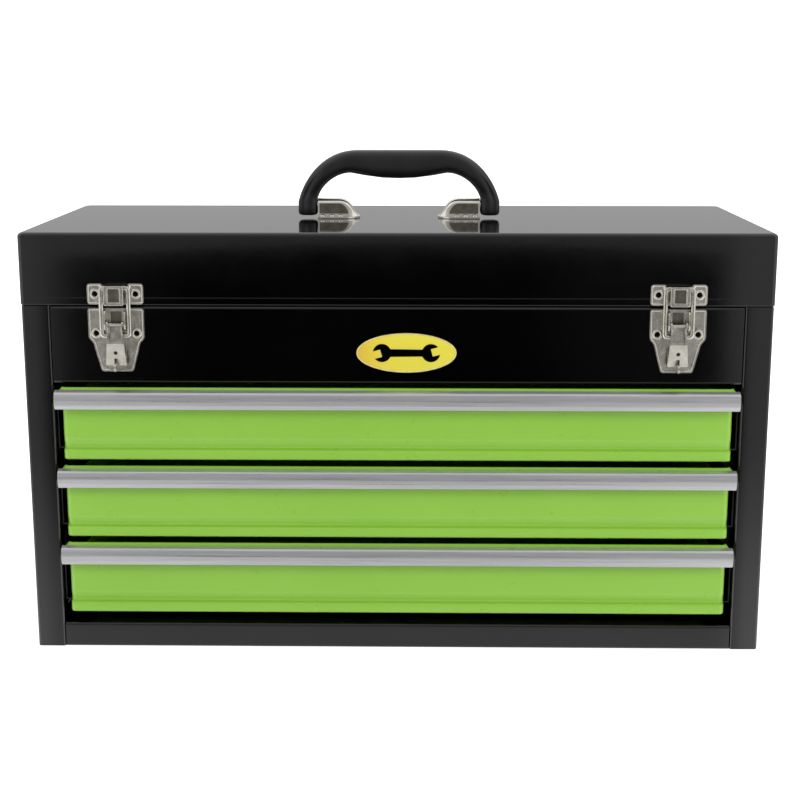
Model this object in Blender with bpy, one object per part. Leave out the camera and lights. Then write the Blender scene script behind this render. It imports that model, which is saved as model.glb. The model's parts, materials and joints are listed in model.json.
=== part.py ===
"""A portable steel tool chest: a lidded top tray over three drawers, two draw latches and a folding handle.

Sizes are in millimetres here, and the makers of meshes turn them into metres. X is the width, Y the depth
with the front at -Y, and Z the height. The origin is the middle of the cabinet's underside.
"""

import math

import bmesh
import bpy
from mathutils import Matrix, Vector

MM = 0.001

# The whole chest.
WIDTH = 520.0
DEPTH = 218.0
CABINET_TOP = 249.4
LID_TOP = 300.0
SHEET = 0.8
FITTING_SHEET = 1.2
GAP = 0.3

# The cabinet's front.
POST_WIDTH = 20.0
FLANGE = 12.0
RAIL_TOP = 18.0
PANEL_BOTTOM = 194.5
TILL_FLOOR = 196.0

# The drawers, counted from the top.
DRAWER_COUNT = 3
DRAWER_PITCH = 56.5
LOWEST_DRAWER = 27.2
FRONT_HALF_WIDTH = 234.5
TRIM_HALF_WIDTH = 238.0
TRAY_HALF_WIDTH = 226.7
TRAY_FRONT = 1.0
TRAY_LENGTH = 199.0
TRAY_BOTTOM = 3.0
TRAY_TOP = 45.0
TRAY_WALL = 0.8
LIP_START = 6.0
RETURN_DEPTH = 5.0
RETURN_TOP = 50.4
TRIM_THICKNESS = 1.0

# The ball slides, of the usual 12.7 mm thickness.
SLIDE_LENGTH = 200.0
SLIDE_HEIGHT = 35.0
SLIDE_DEPTH = 12.7
SLIDE_CENTRE = 24.0
CABINET_FLANGE = 9.2
DRAWER_FLANGE = 8.0
DRAWER_MEMBER_HEIGHT = 21.0
CAGE_CLEARANCE = 2.7
CAGE_HEIGHT = 27.6
CAGE_LENGTH = 48.0
CAGE_SHEET = 0.8
UPRIGHT_WEB = 18.0

# The lid and its piano hinge.
LID_OVERHANG = 0.7
LID_RADIUS = 3.0
LID_CORNER = 3.0
HEM_HEIGHT = 7.0
HEM_THICKNESS = 1.8
HINGE_Y = 112.1
HINGE_Z = CABINET_TOP + GAP / 2
KNUCKLE_BORE = 1.5
KNUCKLE_COUNT = 12
PIN_CLEARANCE = 0.3
HINGE_HALF_LENGTH = 240.0
LEAF_HEIGHT = 22.0
LID_OPEN = math.radians(100)

# The lid's stay: its pivot and its stud, measured from the hinge's pin.
STAY_PIVOT = (-30.0, -20.0)
STAY_STUD = (-85.0, 10.0)
STAY_HALF_WIDTH = 6.0
STAY_PIN_RADIUS = 2.0
STAY_SLOT_RADIUS = 2.4
STAY_NEAR_X = 255.4
STAY_FAR_X = 256.9
RIVET_HEAD = 1.4

# The latches, with d measured outwards from the cabinet's front.
LATCH_X = 194.0
BASE_TOP = 248.0
BASE_SHOULDER = 227.0
BASE_WAIST = 223.8
BASE_FOOT = 203.6
PLATE_HALF_WIDTH = 19.4
WAIST_HALF_WIDTH = 16.3
FOOT_HALF_WIDTH = 11.0
EAR_X = 6.4
EAR_RADIUS = 3.2
STAPLE_D = 12.6
STAPLE_BOTTOM = 204.5
STAPLE_TOP = 211.0
STAPLE_HOLE_D = 9.4
STAPLE_HOLE_RADIUS = 2.0
STAPLE_HALF_THICKNESS = 0.8
LEVER_PIVOT_Z = 237.0
LEVER_PIVOT_D = 5.0
LEVER_PIN_RADIUS = 1.2
CHEEK_X = 4.8
LEVER_FOOT = 205.5
FINGER_NEAR_D = 5.4
FINGER_FAR_D = 6.6
FINGER_TOP = 218.0
FINGER_HALF_WIDTH = 7.0
FORK_Z = 214.5
FORK_RADIUS = 2.6
FORK_HALF_WIDTH = 1.9
BAIL_PIVOT_Z = 229.0
BAIL_D = 4.2
BAIL_TOP_Z = 262.5
BAIL_HALF_WIDTH = 9.5
BAIL_END_X = 5.0
WIRE_RADIUS = 1.3
WIRE_BEND = 2.2
KEEPER_BOTTOM = 250.6
KEEPER_TOP = 265.1
KEEPER_THICKNESS = 1.0
HOOK_HALF_WIDTH = 7.0
HOOK_ROOT = (259.4, 260.9)
HOOK_TOP = 264.3
HOOK_D = (7.4, 8.6)

# The handle.
HANDLE_Y = 4.0
HANDLE_PIVOT_Z = 309.5
HANDLE_FOOT = 302.0
HANDLE_TOP = 350.4
HANDLE_PIN_RADIUS = 3.4
HANDLE_PIN_X = (44.0, 70.3)
GRIP_START = 325.0
GRIP_BLEND = 15.0
LEG_HALF_DEPTH = 7.0
GRIP_HALF_DEPTH = 9.5
BRACKET_X = (29.5, 60.8)
BRACKET_REACH = 13.0
ARCH_REACH = 5.0

# The badge.
BADGE_X = 7.0
BADGE_Z = 217.0
BADGE_WIDTH = 69.5
BADGE_HEIGHT = 27.7
BADGE_RIM = 1.0
BADGE_FACE = 1.5

SIDE_X = WIDTH / 2
OPENING_X = SIDE_X - POST_WIDTH
FRONT_Y = -DEPTH / 2
BACK_Y = DEPTH / 2
SLIDE_OUTER_X = OPENING_X - GAP
SLIDE_INNER_X = SLIDE_OUTER_X - SLIDE_DEPTH
SLIDE_FRONT_Y = FRONT_Y + 5.0


# Outlines.


def sheet_outline(path, thickness):
    """The closed outline of a folded sheet: the path is one face, and its thickness lies to the left."""
    path = [Vector(point) for point in path]
    normals = []
    for start, end in zip(path, path[1:]):
        along = (end - start).normalized()
        normals.append(Vector((-along.y, along.x)))
    offset = [path[0] + normals[0] * thickness]
    for point, before, after in zip(path[1:-1], normals, normals[1:]):
        offset.append(point + (before + after) * thickness / (1 + before.dot(after)))
    offset.append(path[-1] + normals[-1] * thickness)
    return [tuple(point) for point in path + offset[::-1]]


def arc(centre, radius, start, end, steps):
    """Points along an arc between two angles in degrees, both ends included."""
    points = []
    for step in range(steps + 1):
        angle = math.radians(start + (end - start) * step / steps)
        points.append((centre[0] + radius * math.cos(angle), centre[1] + radius * math.sin(angle)))
    return points


def bezier(first, second, third, fourth, steps):
    """Points along a cubic curve, both ends included."""
    points = []
    for step in range(steps + 1):
        t = step / steps
        weights = ((1 - t) ** 3, 3 * t * (1 - t) ** 2, 3 * t * t * (1 - t), t**3)
        corners = (first, second, third, fourth)
        points.append(tuple(sum(w * c[axis] for w, c in zip(weights, corners)) for axis in (0, 1)))
    return points


def rectangle(low_a, low_b, high_a, high_b):
    return [(low_a, low_b), (high_a, low_b), (high_a, high_b), (low_a, high_b)]


def mirrored(half_outline):
    """A closed outline from its half at positive a, listed from one end of the mirror line to the other."""
    return half_outline + [(-a, b) for a, b in reversed(half_outline) if abs(a) > 1e-6]


def ahead(d):
    """The Y of a point that stands d in front of the cabinet."""
    return FRONT_Y - d


# Meshes and objects.


def spot(axis, along, a, b):
    """A point in metres from its place along an axis and its two coordinates across it."""
    places = {"X": (along, a, b), "Y": (a, along, b), "Z": (a, b, along)}
    return Vector(places[axis]) * MM


def skin(rings):
    """A closed mesh over rings of equally many points, each in metres, with its ends capped."""
    mesh = bmesh.new()
    loops = [[mesh.verts.new(point) for point in ring] for ring in rings]
    for lower, upper in zip(loops, loops[1:]):
        for i in range(len(lower)):
            j = (i + 1) % len(lower)
            mesh.faces.new((lower[i], lower[j], upper[j], upper[i]))
    mesh.faces.new(loops[0])
    mesh.faces.new(loops[-1])
    bmesh.ops.recalc_face_normals(mesh, faces=mesh.faces)
    return mesh


def prism(outline, axis, low, high):
    return skin([[spot(axis, along, a, b) for a, b in outline] for along in (low, high)])


def box(low, high):
    return prism(rectangle(low[0], low[1], high[0], high[1]), "Z", low[2], high[2])


def rod(axis, low, high, centre, radius, segments=16):
    return prism(arc(centre, radius, 0, 360 - 360 / segments, segments - 1), axis, low, high)


def bake(thing):
    """Replaces an object's mesh with what its modifiers make of it."""
    bpy.context.view_layer.update()
    graph = bpy.context.evaluated_depsgraph_get()
    mesh = bpy.data.meshes.new_from_object(thing.evaluated_get(graph))
    thing.modifiers.clear()
    old = thing.data
    thing.data = mesh
    bpy.data.meshes.remove(old)


def add_object(name, mesh):
    data = bpy.data.meshes.new(name)
    mesh.to_mesh(data)
    mesh.free()
    thing = bpy.data.objects.new(name, data)
    bpy.context.scene.collection.objects.link(thing)
    return thing


def combine(thing, meshes, operation):
    """Joins closed meshes to an object, or cuts them from it."""
    for mesh in meshes:
        tool = add_object("tool", mesh)
        modifier = thing.modifiers.new("combine", "BOOLEAN")
        modifier.operation = operation
        modifier.solver = "EXACT"
        modifier.object = tool
        bake(thing)
        bpy.data.objects.remove(tool)


def piece(name, mesh, material, joined=(), cut=()):
    """A named solid of one material, with other meshes joined to it and then cut from it."""
    thing = add_object(name, mesh)
    combine(thing, joined, "UNION")
    combine(thing, cut, "DIFFERENCE")
    thing.data.materials.clear()
    thing.data.materials.append(material)
    thing.data.shade_smooth()
    thing.data.set_sharp_from_angle(angle=math.radians(35))
    return thing


def hang(name, pivot, pieces):
    """Parents a moving body's pieces to an empty on its joint's axis, and puts their origins there."""
    empty = bpy.data.objects.new(name, None)
    empty.location = Vector(pivot) * MM
    bpy.context.scene.collection.objects.link(empty)
    for thing in pieces:
        thing.data.transform(Matrix.Translation(-empty.location))
        thing.parent = empty
    return empty


def paint(name, colour, roughness, metallic):
    material = bpy.data.materials.new(name)
    material.use_nodes = True
    shader = material.node_tree.nodes["Principled BSDF"]
    shader.inputs["Base Color"].default_value = (*colour, 1.0)
    shader.inputs["Roughness"].default_value = roughness
    shader.inputs["Metallic"].default_value = metallic
    material.diffuse_color = (*colour, 1.0)
    return material


# The cabinet.


def side_panel(name, side, black):
    """A side with the front post and its return folded from one sheet, and a hem along the top."""
    post = [
        (side * (SIDE_X - SHEET), BACK_Y),
        (side * (SIDE_X - SHEET), FRONT_Y + SHEET),
        (side * (OPENING_X + SHEET), FRONT_Y + SHEET),
        (side * (OPENING_X + SHEET), FRONT_Y + SHEET + FLANGE),
        (side * OPENING_X, FRONT_Y + SHEET + FLANGE),
        (side * OPENING_X, FRONT_Y),
        (side * SIDE_X, FRONT_Y),
        (side * SIDE_X, BACK_Y),
    ]
    hem_x = sorted((side * (SIDE_X - HEM_THICKNESS), side * (SIDE_X - SHEET / 2)))
    hem_low = (hem_x[0], FRONT_Y + SHEET + FLANGE, CABINET_TOP - HEM_HEIGHT)
    hem_high = (hem_x[1], BACK_Y - FLANGE, CABINET_TOP)
    hem = box(hem_low, hem_high)
    return piece(name, prism(post, "Z", 0, CABINET_TOP), black, joined=[hem])


def back_panel(black):
    path = [
        (SIDE_X - SHEET - GAP, BACK_Y - FLANGE + SHEET),
        (SIDE_X - SHEET - GAP, BACK_Y),
        (-SIDE_X + SHEET + GAP, BACK_Y),
        (-SIDE_X + SHEET + GAP, BACK_Y - FLANGE + SHEET),
    ]
    return piece("back_panel", prism(sheet_outline(path, SHEET), "Z", 0, CABINET_TOP), black)


def floor_outline():
    """A floor that fits between the sides, with tongues between the posts and the back panel's flanges."""
    post_y = FRONT_Y + SHEET + FLANGE + GAP
    flange_y = BACK_Y - FLANGE + SHEET - GAP
    half = [
        (OPENING_X - GAP, FRONT_Y + SHEET + GAP),
        (OPENING_X - GAP, post_y),
        (SIDE_X - SHEET - GAP, post_y),
        (SIDE_X - SHEET - GAP, flange_y),
        (SIDE_X - 2 * SHEET - 2 * GAP, flange_y),
        (SIDE_X - 2 * SHEET - 2 * GAP, BACK_Y - SHEET - GAP),
    ]
    return mirrored(half)


def bottom_pan(black):
    rail = sheet_outline(
        [(FRONT_Y + FLANGE, RAIL_TOP), (FRONT_Y, RAIL_TOP), (FRONT_Y, 0), (FRONT_Y + FLANGE / 2, 0)], SHEET
    )
    rail_mesh = prism(rail, "X", -OPENING_X + GAP, OPENING_X - GAP)
    return piece("bottom_pan", prism(floor_outline(), "Z", 0, SHEET), black, joined=[rail_mesh])


def upper_front_panel(black):
    path = [
        (FRONT_Y + FLANGE, CABINET_TOP),
        (FRONT_Y, CABINET_TOP),
        (FRONT_Y, PANEL_BOTTOM),
        (FRONT_Y + FLANGE, PANEL_BOTTOM),
    ]
    mesh = prism(sheet_outline(path, SHEET), "X", -OPENING_X + GAP, OPENING_X - GAP)
    return piece("upper_front_panel", mesh, black)


def slide_upright(name, side, steel):
    """The rear bracket that carries the ends of one side's slides."""
    web_y = SLIDE_FRONT_Y + SLIDE_LENGTH - UPRIGHT_WEB
    near = OPENING_X + FITTING_SHEET
    far = SIDE_X - SHEET - GAP
    path = [(near, web_y - UPRIGHT_WEB), (near, web_y), (far, web_y), (far, web_y + UPRIGHT_WEB)]
    outline = [(side * x, y) for x, y in sheet_outline(path, FITTING_SHEET)]
    return piece(name, prism(outline, "Z", SHEET + GAP, TILL_FLOOR - GAP), steel)


def badge(yellow):
    """A blank oval plate, domed a little at its edge."""
    segments = 48
    rings = []
    for d, inset in ((GAP, 0.0), (BADGE_RIM, 0.0), (BADGE_FACE, 0.8)):
        ring = []
        for step in range(segments):
            angle = 2 * math.pi * step / segments
            x = BADGE_X + (BADGE_WIDTH / 2 - inset) * math.cos(angle)
            z = BADGE_Z + (BADGE_HEIGHT / 2 - inset) * math.sin(angle)
            ring.append(spot("Y", ahead(d), x, z))
        rings.append(ring)
    return piece("badge", skin(rings), yellow)


# The slides and drawers.


def slide_channel(name, side, centre_z, tips_x, web_x, height, thickness, y_low, y_high, metal):
    """A C-shaped length of slide, from its web to the tips of its two flanges."""
    path = [
        (tips_x, centre_z - height / 2),
        (web_x, centre_z - height / 2),
        (web_x, centre_z + height / 2),
        (tips_x, centre_z + height / 2),
    ]
    if web_x < tips_x:
        path = path[::-1]
    outline = [(side * x, z) for x, z in sheet_outline(path, thickness)]
    return piece(name, prism(outline, "Y", y_low, y_high), metal)


def slide_set(number, side_name, side, bottom, steel, cage_steel):
    """One slide: the cabinet's member, the drawer's member and the cage that holds the balls between them."""
    centre = bottom + SLIDE_CENTRE
    back = SLIDE_FRONT_Y + SLIDE_LENGTH
    cage_middle = (SLIDE_FRONT_Y + back) / 2
    suffix = f"{number}_{side_name}"
    flange_x = SLIDE_OUTER_X - CABINET_FLANGE
    cage_y = (cage_middle - CAGE_LENGTH / 2, cage_middle + CAGE_LENGTH / 2)
    slide_channel(
        f"cabinet_slide_{suffix}", side, centre, flange_x, SLIDE_OUTER_X, SLIDE_HEIGHT, FITTING_SHEET,
        SLIDE_FRONT_Y, back, steel,
    )
    member = slide_channel(
        f"drawer_slide_{suffix}", side, centre, SLIDE_INNER_X + DRAWER_FLANGE, SLIDE_INNER_X,
        DRAWER_MEMBER_HEIGHT, FITTING_SHEET, SLIDE_FRONT_Y, back, steel,
    )
    cage = slide_channel(
        f"ball_cage_{suffix}", side, centre, flange_x, SLIDE_OUTER_X - CAGE_CLEARANCE, CAGE_HEIGHT,
        CAGE_SHEET, cage_y[0], cage_y[1], cage_steel,
    )
    return member, cage


def drawer_tray(number, bottom, green):
    front = FRONT_Y + TRAY_FRONT
    low = (-TRAY_HALF_WIDTH, front, bottom + TRAY_BOTTOM)
    high = (TRAY_HALF_WIDTH, front + TRAY_LENGTH, bottom + TRAY_TOP)
    inside_low = (low[0] + TRAY_WALL, low[1] + TRAY_WALL, low[2] + TRAY_WALL)
    inside_high = (high[0] - TRAY_WALL, high[1] - TRAY_WALL, high[2] + 1)
    return piece(f"drawer_tray_{number}", box(low, high), green, cut=[box(inside_low, inside_high)])


def front_path():
    """The face of a drawer front from the tip of its top lip down to the flange under it, as (d, z)."""
    return [
        (7.9, 46.6), (1.4, 51.8), (1.4, 12.6), (0.2, 10.8), (0.2, 9.4), (3.0, 7.3), (3.0, 0.0), (-0.6, 0.0),
    ]


def drawer_front(number, bottom, green):
    """A folded front: its top lip leans out to carry the trim, and its lower edge is proud of a groove."""
    path = [(ahead(d), bottom + z) for d, z in front_path()]
    lip_y = ahead(LIP_START) * MM
    mesh = prism(sheet_outline(path, SHEET), "X", -FRONT_HALF_WIDTH, FRONT_HALF_WIDTH)
    for vertex in mesh.verts:
        if vertex.co.y < lip_y:
            vertex.co.x = math.copysign(TRIM_HALF_WIDTH * MM, vertex.co.x)
    returns = []
    for side in (-1, 1):
        edges = sorted((side * (FRONT_HALF_WIDTH - SHEET), side * FRONT_HALF_WIDTH))
        face = ahead(0.8)
        outline = rectangle(edges[0], face, edges[1], face + RETURN_DEPTH)
        returns.append(prism(outline, "Z", bottom + SHEET / 2, bottom + RETURN_TOP))
    return piece(f"drawer_front_{number}", mesh, green, joined=returns)


def pull_trim(number, bottom, aluminium):
    """The full-width aluminium trim that caps the top lip, with its lower edge turned in."""
    face = [(5.8, 51.0), (9.6, 49.0), (10.2, 44.5), (10.0, 40.6), (8.6, 38.0)]
    path = [(ahead(d), bottom + z) for d, z in face]
    mesh = prism(sheet_outline(path, TRIM_THICKNESS), "X", -TRIM_HALF_WIDTH, TRIM_HALF_WIDTH)
    return piece(f"pull_trim_{number}", mesh, aluminium)


# The lid, its hinge and its stay.


def rounded(half_x, half_y, radius, steps=3):
    """The outline of a rectangle about the middle, with rounded corners."""
    points = []
    for turn, (x, y) in enumerate(((1, 1), (-1, 1), (-1, -1), (1, -1))):
        centre = (x * (half_x - radius), y * (half_y - radius))
        points += arc(centre, radius, 90 * turn, 90 * turn + 90, steps)
    return points


def lid_cover(inset, bottom):
    """The lid's outer surface as a closed form, or its inner one when inset by the sheet's thickness."""
    radius = LID_RADIUS - inset
    half_x = SIDE_X + LID_OVERHANG - inset
    half_y = DEPTH / 2 - inset
    levels = [(bottom, 0.0)]
    for angle in (0, 22.5, 45, 67.5, 90):
        bend = math.radians(angle)
        levels.append((LID_TOP - LID_RADIUS + radius * math.sin(bend), radius * (1 - math.cos(bend))))
    rings = []
    for z, drawn_in in levels:
        outline = rounded(half_x - drawn_in, half_y - drawn_in, LID_CORNER + drawn_in / 2)
        rings.append([spot("Z", z, x, y) for x, y in outline])
    return skin(rings)


def lid_shell(black):
    """A deep-drawn cover, a little wider than the cabinet, with a hem around its open side."""
    low_z = CABINET_TOP + GAP
    hollow = lid_cover(SHEET, low_z + HEM_HEIGHT)
    mouth_x = SIDE_X + LID_OVERHANG - HEM_THICKNESS
    mouth = box(
        (-mouth_x, FRONT_Y + HEM_THICKNESS, low_z - 1),
        (mouth_x, BACK_Y - HEM_THICKNESS, low_z + HEM_HEIGHT + 1),
    )
    return piece("lid_shell", lid_cover(0, low_z), black, cut=[hollow, mouth])


def hinge_leaf(name, direction, first_knuckle, steel):
    """A leaf on the outside of the back with every other knuckle curled around the pin."""
    back_face = HINGE_Y - KNUCKLE_BORE - FITTING_SHEET
    pitch = 2 * HINGE_HALF_LENGTH / KNUCKLE_COUNT

    def across(points):
        return [(y, HINGE_Z + direction * (z - HINGE_Z)) for y, z in points]

    plate_top = HINGE_Z - KNUCKLE_BORE - FITTING_SHEET - 1.5 * GAP
    plate = across(rectangle(back_face, plate_top - LEAF_HEIGHT, back_face + FITTING_SHEET, plate_top))
    curl = [(back_face + FITTING_SHEET, HINGE_Z - 6)] + arc((HINGE_Y, HINGE_Z), KNUCKLE_BORE, 180, -120, 12)
    knuckle = across(sheet_outline(curl, FITTING_SHEET))
    knuckles = []
    for index in range(first_knuckle, KNUCKLE_COUNT, 2):
        start = -HINGE_HALF_LENGTH + index * pitch
        knuckles.append(prism(knuckle, "X", start + GAP / 2, start + pitch - GAP / 2))
    mesh = prism(plate, "X", -HINGE_HALF_LENGTH, HINGE_HALF_LENGTH)
    return piece(name, mesh, steel, joined=knuckles)


def turned(point, angle):
    """A point measured from the hinge's pin, as (y, z), carried by the lid as it opens by an angle."""
    y, z = point
    return Vector((y * math.cos(angle) + z * math.sin(angle), -y * math.sin(angle) + z * math.cos(angle)))


def stay_ratio():
    """How far the stay turns for each degree of the lid, from its closed and open directions."""
    closed = Vector(STAY_STUD) - Vector(STAY_PIVOT)
    opened = turned(STAY_STUD, LID_OPEN) - Vector(STAY_PIVOT)
    return closed.angle_signed(opened) / LID_OPEN


def slot_path(steps=12):
    """The stud's path in the closed stay's frame, which the slot follows."""
    ratio = stay_ratio()
    points = []
    for step in range(steps + 1):
        angle = LID_OPEN * step / steps
        reach = turned(STAY_STUD, angle) - Vector(STAY_PIVOT)
        points.append(Vector(turned(reach, -angle * ratio)))
    return points


def band(path, half_width, end_steps=6):
    """A closed outline that keeps a distance from a path, with half-round ends."""
    sides = ([], [])
    for index, point in enumerate(path):
        along = (path[min(index + 1, len(path) - 1)] - path[max(index - 1, 0)]).normalized()
        normal = Vector((-along.y, along.x)) * half_width
        sides[0].append(tuple(point + normal))
        sides[1].append(tuple(point - normal))
    first = math.degrees(math.atan2(*reversed(path[0] - path[1])))
    last = math.degrees(math.atan2(*reversed(path[-1] - path[-2])))
    head = arc(path[-1], half_width, last + 90, last - 90, end_steps)[1:-1]
    tail = arc(path[0], half_width, first + 90, first - 90, end_steps)[1:-1]
    return sides[0] + head + sides[1][::-1] + tail


def lid_stay(steel):
    """A slotted arm on the left side. Its slot is curved so that the stud turns it evenly."""
    pivot = Vector((HINGE_Y + STAY_PIVOT[0], HINGE_Z + STAY_PIVOT[1]))
    slot = [pivot + point for point in slot_path()]
    arm = [pivot, pivot + (slot[0] - pivot) * 0.5] + slot
    hole = rod("X", -STAY_FAR_X - 1, -STAY_NEAR_X + 1, pivot, STAY_PIN_RADIUS + PIN_CLEARANCE)
    groove = prism(band(slot, STAY_SLOT_RADIUS), "X", -STAY_FAR_X - 1, -STAY_NEAR_X + 1)
    body = prism(band(arm, STAY_HALF_WIDTH), "X", -STAY_FAR_X, -STAY_NEAR_X)
    return piece("lid_stay_arm", body, steel, cut=[hole, groove])


def stay_rivet(name, place, wall_x, steel):
    """A shouldered rivet that holds the stay to the left side of the cabinet or the lid."""
    centre = (HINGE_Y + place[0], HINGE_Z + place[1])
    head_x = -STAY_NEAR_X + GAP
    shank = rod("X", wall_x + SHEET + GAP, head_x + RIVET_HEAD / 2, centre, STAY_PIN_RADIUS)
    head = rod("X", head_x, head_x + RIVET_HEAD, centre, 2 * STAY_PIN_RADIUS)
    return piece(name, shank, steel, joined=[head])


# The latches.


def latch_base(name, x, nickel):
    """The plate riveted to the cabinet, with ears for the lever's pin and a staple for a padlock."""
    half = [(PLATE_HALF_WIDTH, BASE_TOP), (PLATE_HALF_WIDTH, BASE_SHOULDER)]
    half += [(WAIST_HALF_WIDTH, BASE_WAIST), (FOOT_HALF_WIDTH, BASE_FOOT)]
    outline = [(x + across, z) for across, z in mirrored(half)]
    plate = prism(outline, "Y", ahead(GAP), ahead(GAP + FITTING_SHEET))
    root_y = ahead(GAP + FITTING_SHEET / 2)
    pivot = (ahead(LEVER_PIVOT_D), LEVER_PIVOT_Z)
    ear = [(root_y, LEVER_PIVOT_Z - EAR_RADIUS)] + arc(pivot, EAR_RADIUS, 270, 90, 8)
    ear.append((root_y, LEVER_PIVOT_Z + EAR_RADIUS))
    staple = rectangle(ahead(STAPLE_D), STAPLE_BOTTOM, root_y, STAPLE_TOP)
    staple_hole = (ahead(STAPLE_HOLE_D), (STAPLE_BOTTOM + STAPLE_TOP) / 2)
    joined = [prism(staple, "X", x - STAPLE_HALF_THICKNESS, x + STAPLE_HALF_THICKNESS)]
    for low in (-EAR_X - FITTING_SHEET, EAR_X):
        joined.append(prism(ear, "X", x + low, x + low + FITTING_SHEET))
    cut = [
        rod("X", x - 9, x + 9, pivot, LEVER_PIN_RADIUS + PIN_CLEARANCE),
        rod("X", x - 2, x + 2, staple_hole, STAPLE_HOLE_RADIUS),
    ]
    return piece(name, plate, nickel, joined=joined, cut=cut)


def latch_pin(name, x, nickel):
    half = EAR_X + FITTING_SHEET + PIN_CLEARANCE
    pivot = (ahead(LEVER_PIVOT_D), LEVER_PIVOT_Z)
    return piece(name, rod("X", x - half, x + half, pivot, LEVER_PIN_RADIUS), nickel)


def latch_lever(name, x, nickel):
    """The over-centre lever: two cheeks around the pin and a web that steps out to a forked finger plate."""
    pivot = (ahead(LEVER_PIVOT_D), LEVER_PIVOT_Z)
    wire_hole = (ahead(BAIL_D), BAIL_PIVOT_Z)
    cheek = arc(pivot, EAR_RADIUS - 0.2, 0, 180, 8)
    cheek += [(ahead(7.6), 222.0), (ahead(FINGER_FAR_D), LEVER_FOOT), (ahead(FINGER_NEAR_D), LEVER_FOOT)]
    cheek += [(ahead(5.0), 214.0), (ahead(2.2), 224.0)]
    web = [(FINGER_NEAR_D, LEVER_FOOT), (FINGER_NEAR_D, 219.0), (2.2, 224.0), (2.2, 233.0)]
    web = sheet_outline([(ahead(d), z) for d, z in web], FITTING_SHEET)
    finger_low = (x - FINGER_HALF_WIDTH, ahead(FINGER_FAR_D), LEVER_FOOT)
    finger_high = (x + FINGER_HALF_WIDTH, ahead(FINGER_NEAR_D), FINGER_TOP)
    joined = [box(finger_low, finger_high)]
    for low in (-CHEEK_X - FITTING_SHEET, CHEEK_X):
        joined.append(prism(cheek, "X", x + low, x + low + FITTING_SHEET))
    cut = [
        rod("X", x - 9, x + 9, pivot, LEVER_PIN_RADIUS + PIN_CLEARANCE),
        rod("X", x - 9, x + 9, wire_hole, WIRE_RADIUS + PIN_CLEARANCE),
        rod("Y", ahead(9), ahead(4), (x, FORK_Z), FORK_RADIUS),
        box((x - FORK_HALF_WIDTH, ahead(9), LEVER_FOOT - 5), (x + FORK_HALF_WIDTH, ahead(4), FORK_Z)),
    ]
    return piece(name, prism(web, "X", x - CHEEK_X - 0.1, x + CHEEK_X + 0.1), nickel, joined=joined, cut=cut)


def wire(name, path, radius, corner, metal):
    """A round wire along a path of straight runs with rounded corners."""
    points = [Vector(path[0])]
    for before, at, after in zip(path, path[1:], path[2:]):
        at = Vector(at)
        start = at + (Vector(before) - at).normalized() * corner
        end = at + (Vector(after) - at).normalized() * corner
        for step in range(5):
            t = step / 4
            points.append((1 - t) ** 2 * start + 2 * t * (1 - t) * at + t * t * end)
    points.append(Vector(path[-1]))
    curve = bpy.data.curves.new(name, "CURVE")
    curve.dimensions = "3D"
    curve.bevel_depth = radius * MM
    curve.bevel_resolution = 2
    curve.use_fill_caps = True
    spline = curve.splines.new("POLY")
    spline.points.add(len(points) - 1)
    for target, point in zip(spline.points, points):
        target.co = (*(point * MM), 1)
    curve.materials.append(metal)
    thing = bpy.data.objects.new(name, curve)
    bpy.context.scene.collection.objects.link(thing)
    return thing


def latch_bail(name, x, nickel):
    """The wire loop that pulls the keeper down, with its ends bent into the lever's cheeks."""
    d = ahead(BAIL_D)
    half = BAIL_HALF_WIDTH
    path = [
        (x - BAIL_END_X, d, BAIL_PIVOT_Z), (x - half, d, BAIL_PIVOT_Z), (x - half, d, BAIL_TOP_Z),
        (x + half, d, BAIL_TOP_Z), (x + half, d, BAIL_PIVOT_Z), (x + BAIL_END_X, d, BAIL_PIVOT_Z),
    ]
    return wire(name, path, WIRE_RADIUS, WIRE_BEND, nickel)


def latch_keeper(name, x, nickel):
    """The plate on the lid whose hook the bail pulls on."""
    left, right = x - HOOK_HALF_WIDTH, x + HOOK_HALF_WIDTH
    plate_low = (x - PLATE_HALF_WIDTH, ahead(GAP + KEEPER_THICKNESS), KEEPER_BOTTOM)
    plate_high = (x + PLATE_HALF_WIDTH, ahead(GAP), KEEPER_TOP)
    root_y = ahead(GAP + KEEPER_THICKNESS / 2)
    root = box((left, ahead(sum(HOOK_D) / 2), HOOK_ROOT[0]), (right, root_y, HOOK_ROOT[1]))
    lip = box((left, ahead(HOOK_D[1]), KEEPER_BOTTOM), (right, ahead(HOOK_D[0]), HOOK_TOP))
    return piece(name, box(plate_low, plate_high), nickel, joined=[root, lip])


# The handle.


def handle_half():
    """Matching points along the outside and the inside of half of the handle, from a foot to the middle."""
    outside = [(73.5, HANDLE_FOOT), (75.7, HANDLE_FOOT + 2.0), (75.7, 308.0)]
    outside += bezier((75.7, 312.0), (71.5, 329.0), (57.0, HANDLE_TOP), (31.0, HANDLE_TOP), 8)
    outside += [(23.0, HANDLE_TOP), (12.0, HANDLE_TOP), (0.0, HANDLE_TOP)]
    inside = [(63.5, HANDLE_FOOT), (61.1, HANDLE_FOOT + 2.0), (61.1, 308.0)]
    inside += bezier((61.1, 314.5), (58.4, 324.5), (47.0, 333.5), (36.0, 333.5), 8)
    inside += [(25.0, 331.5), (12.0, 329.8), (0.0, 329.4)]
    return list(zip(outside, inside))


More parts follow.
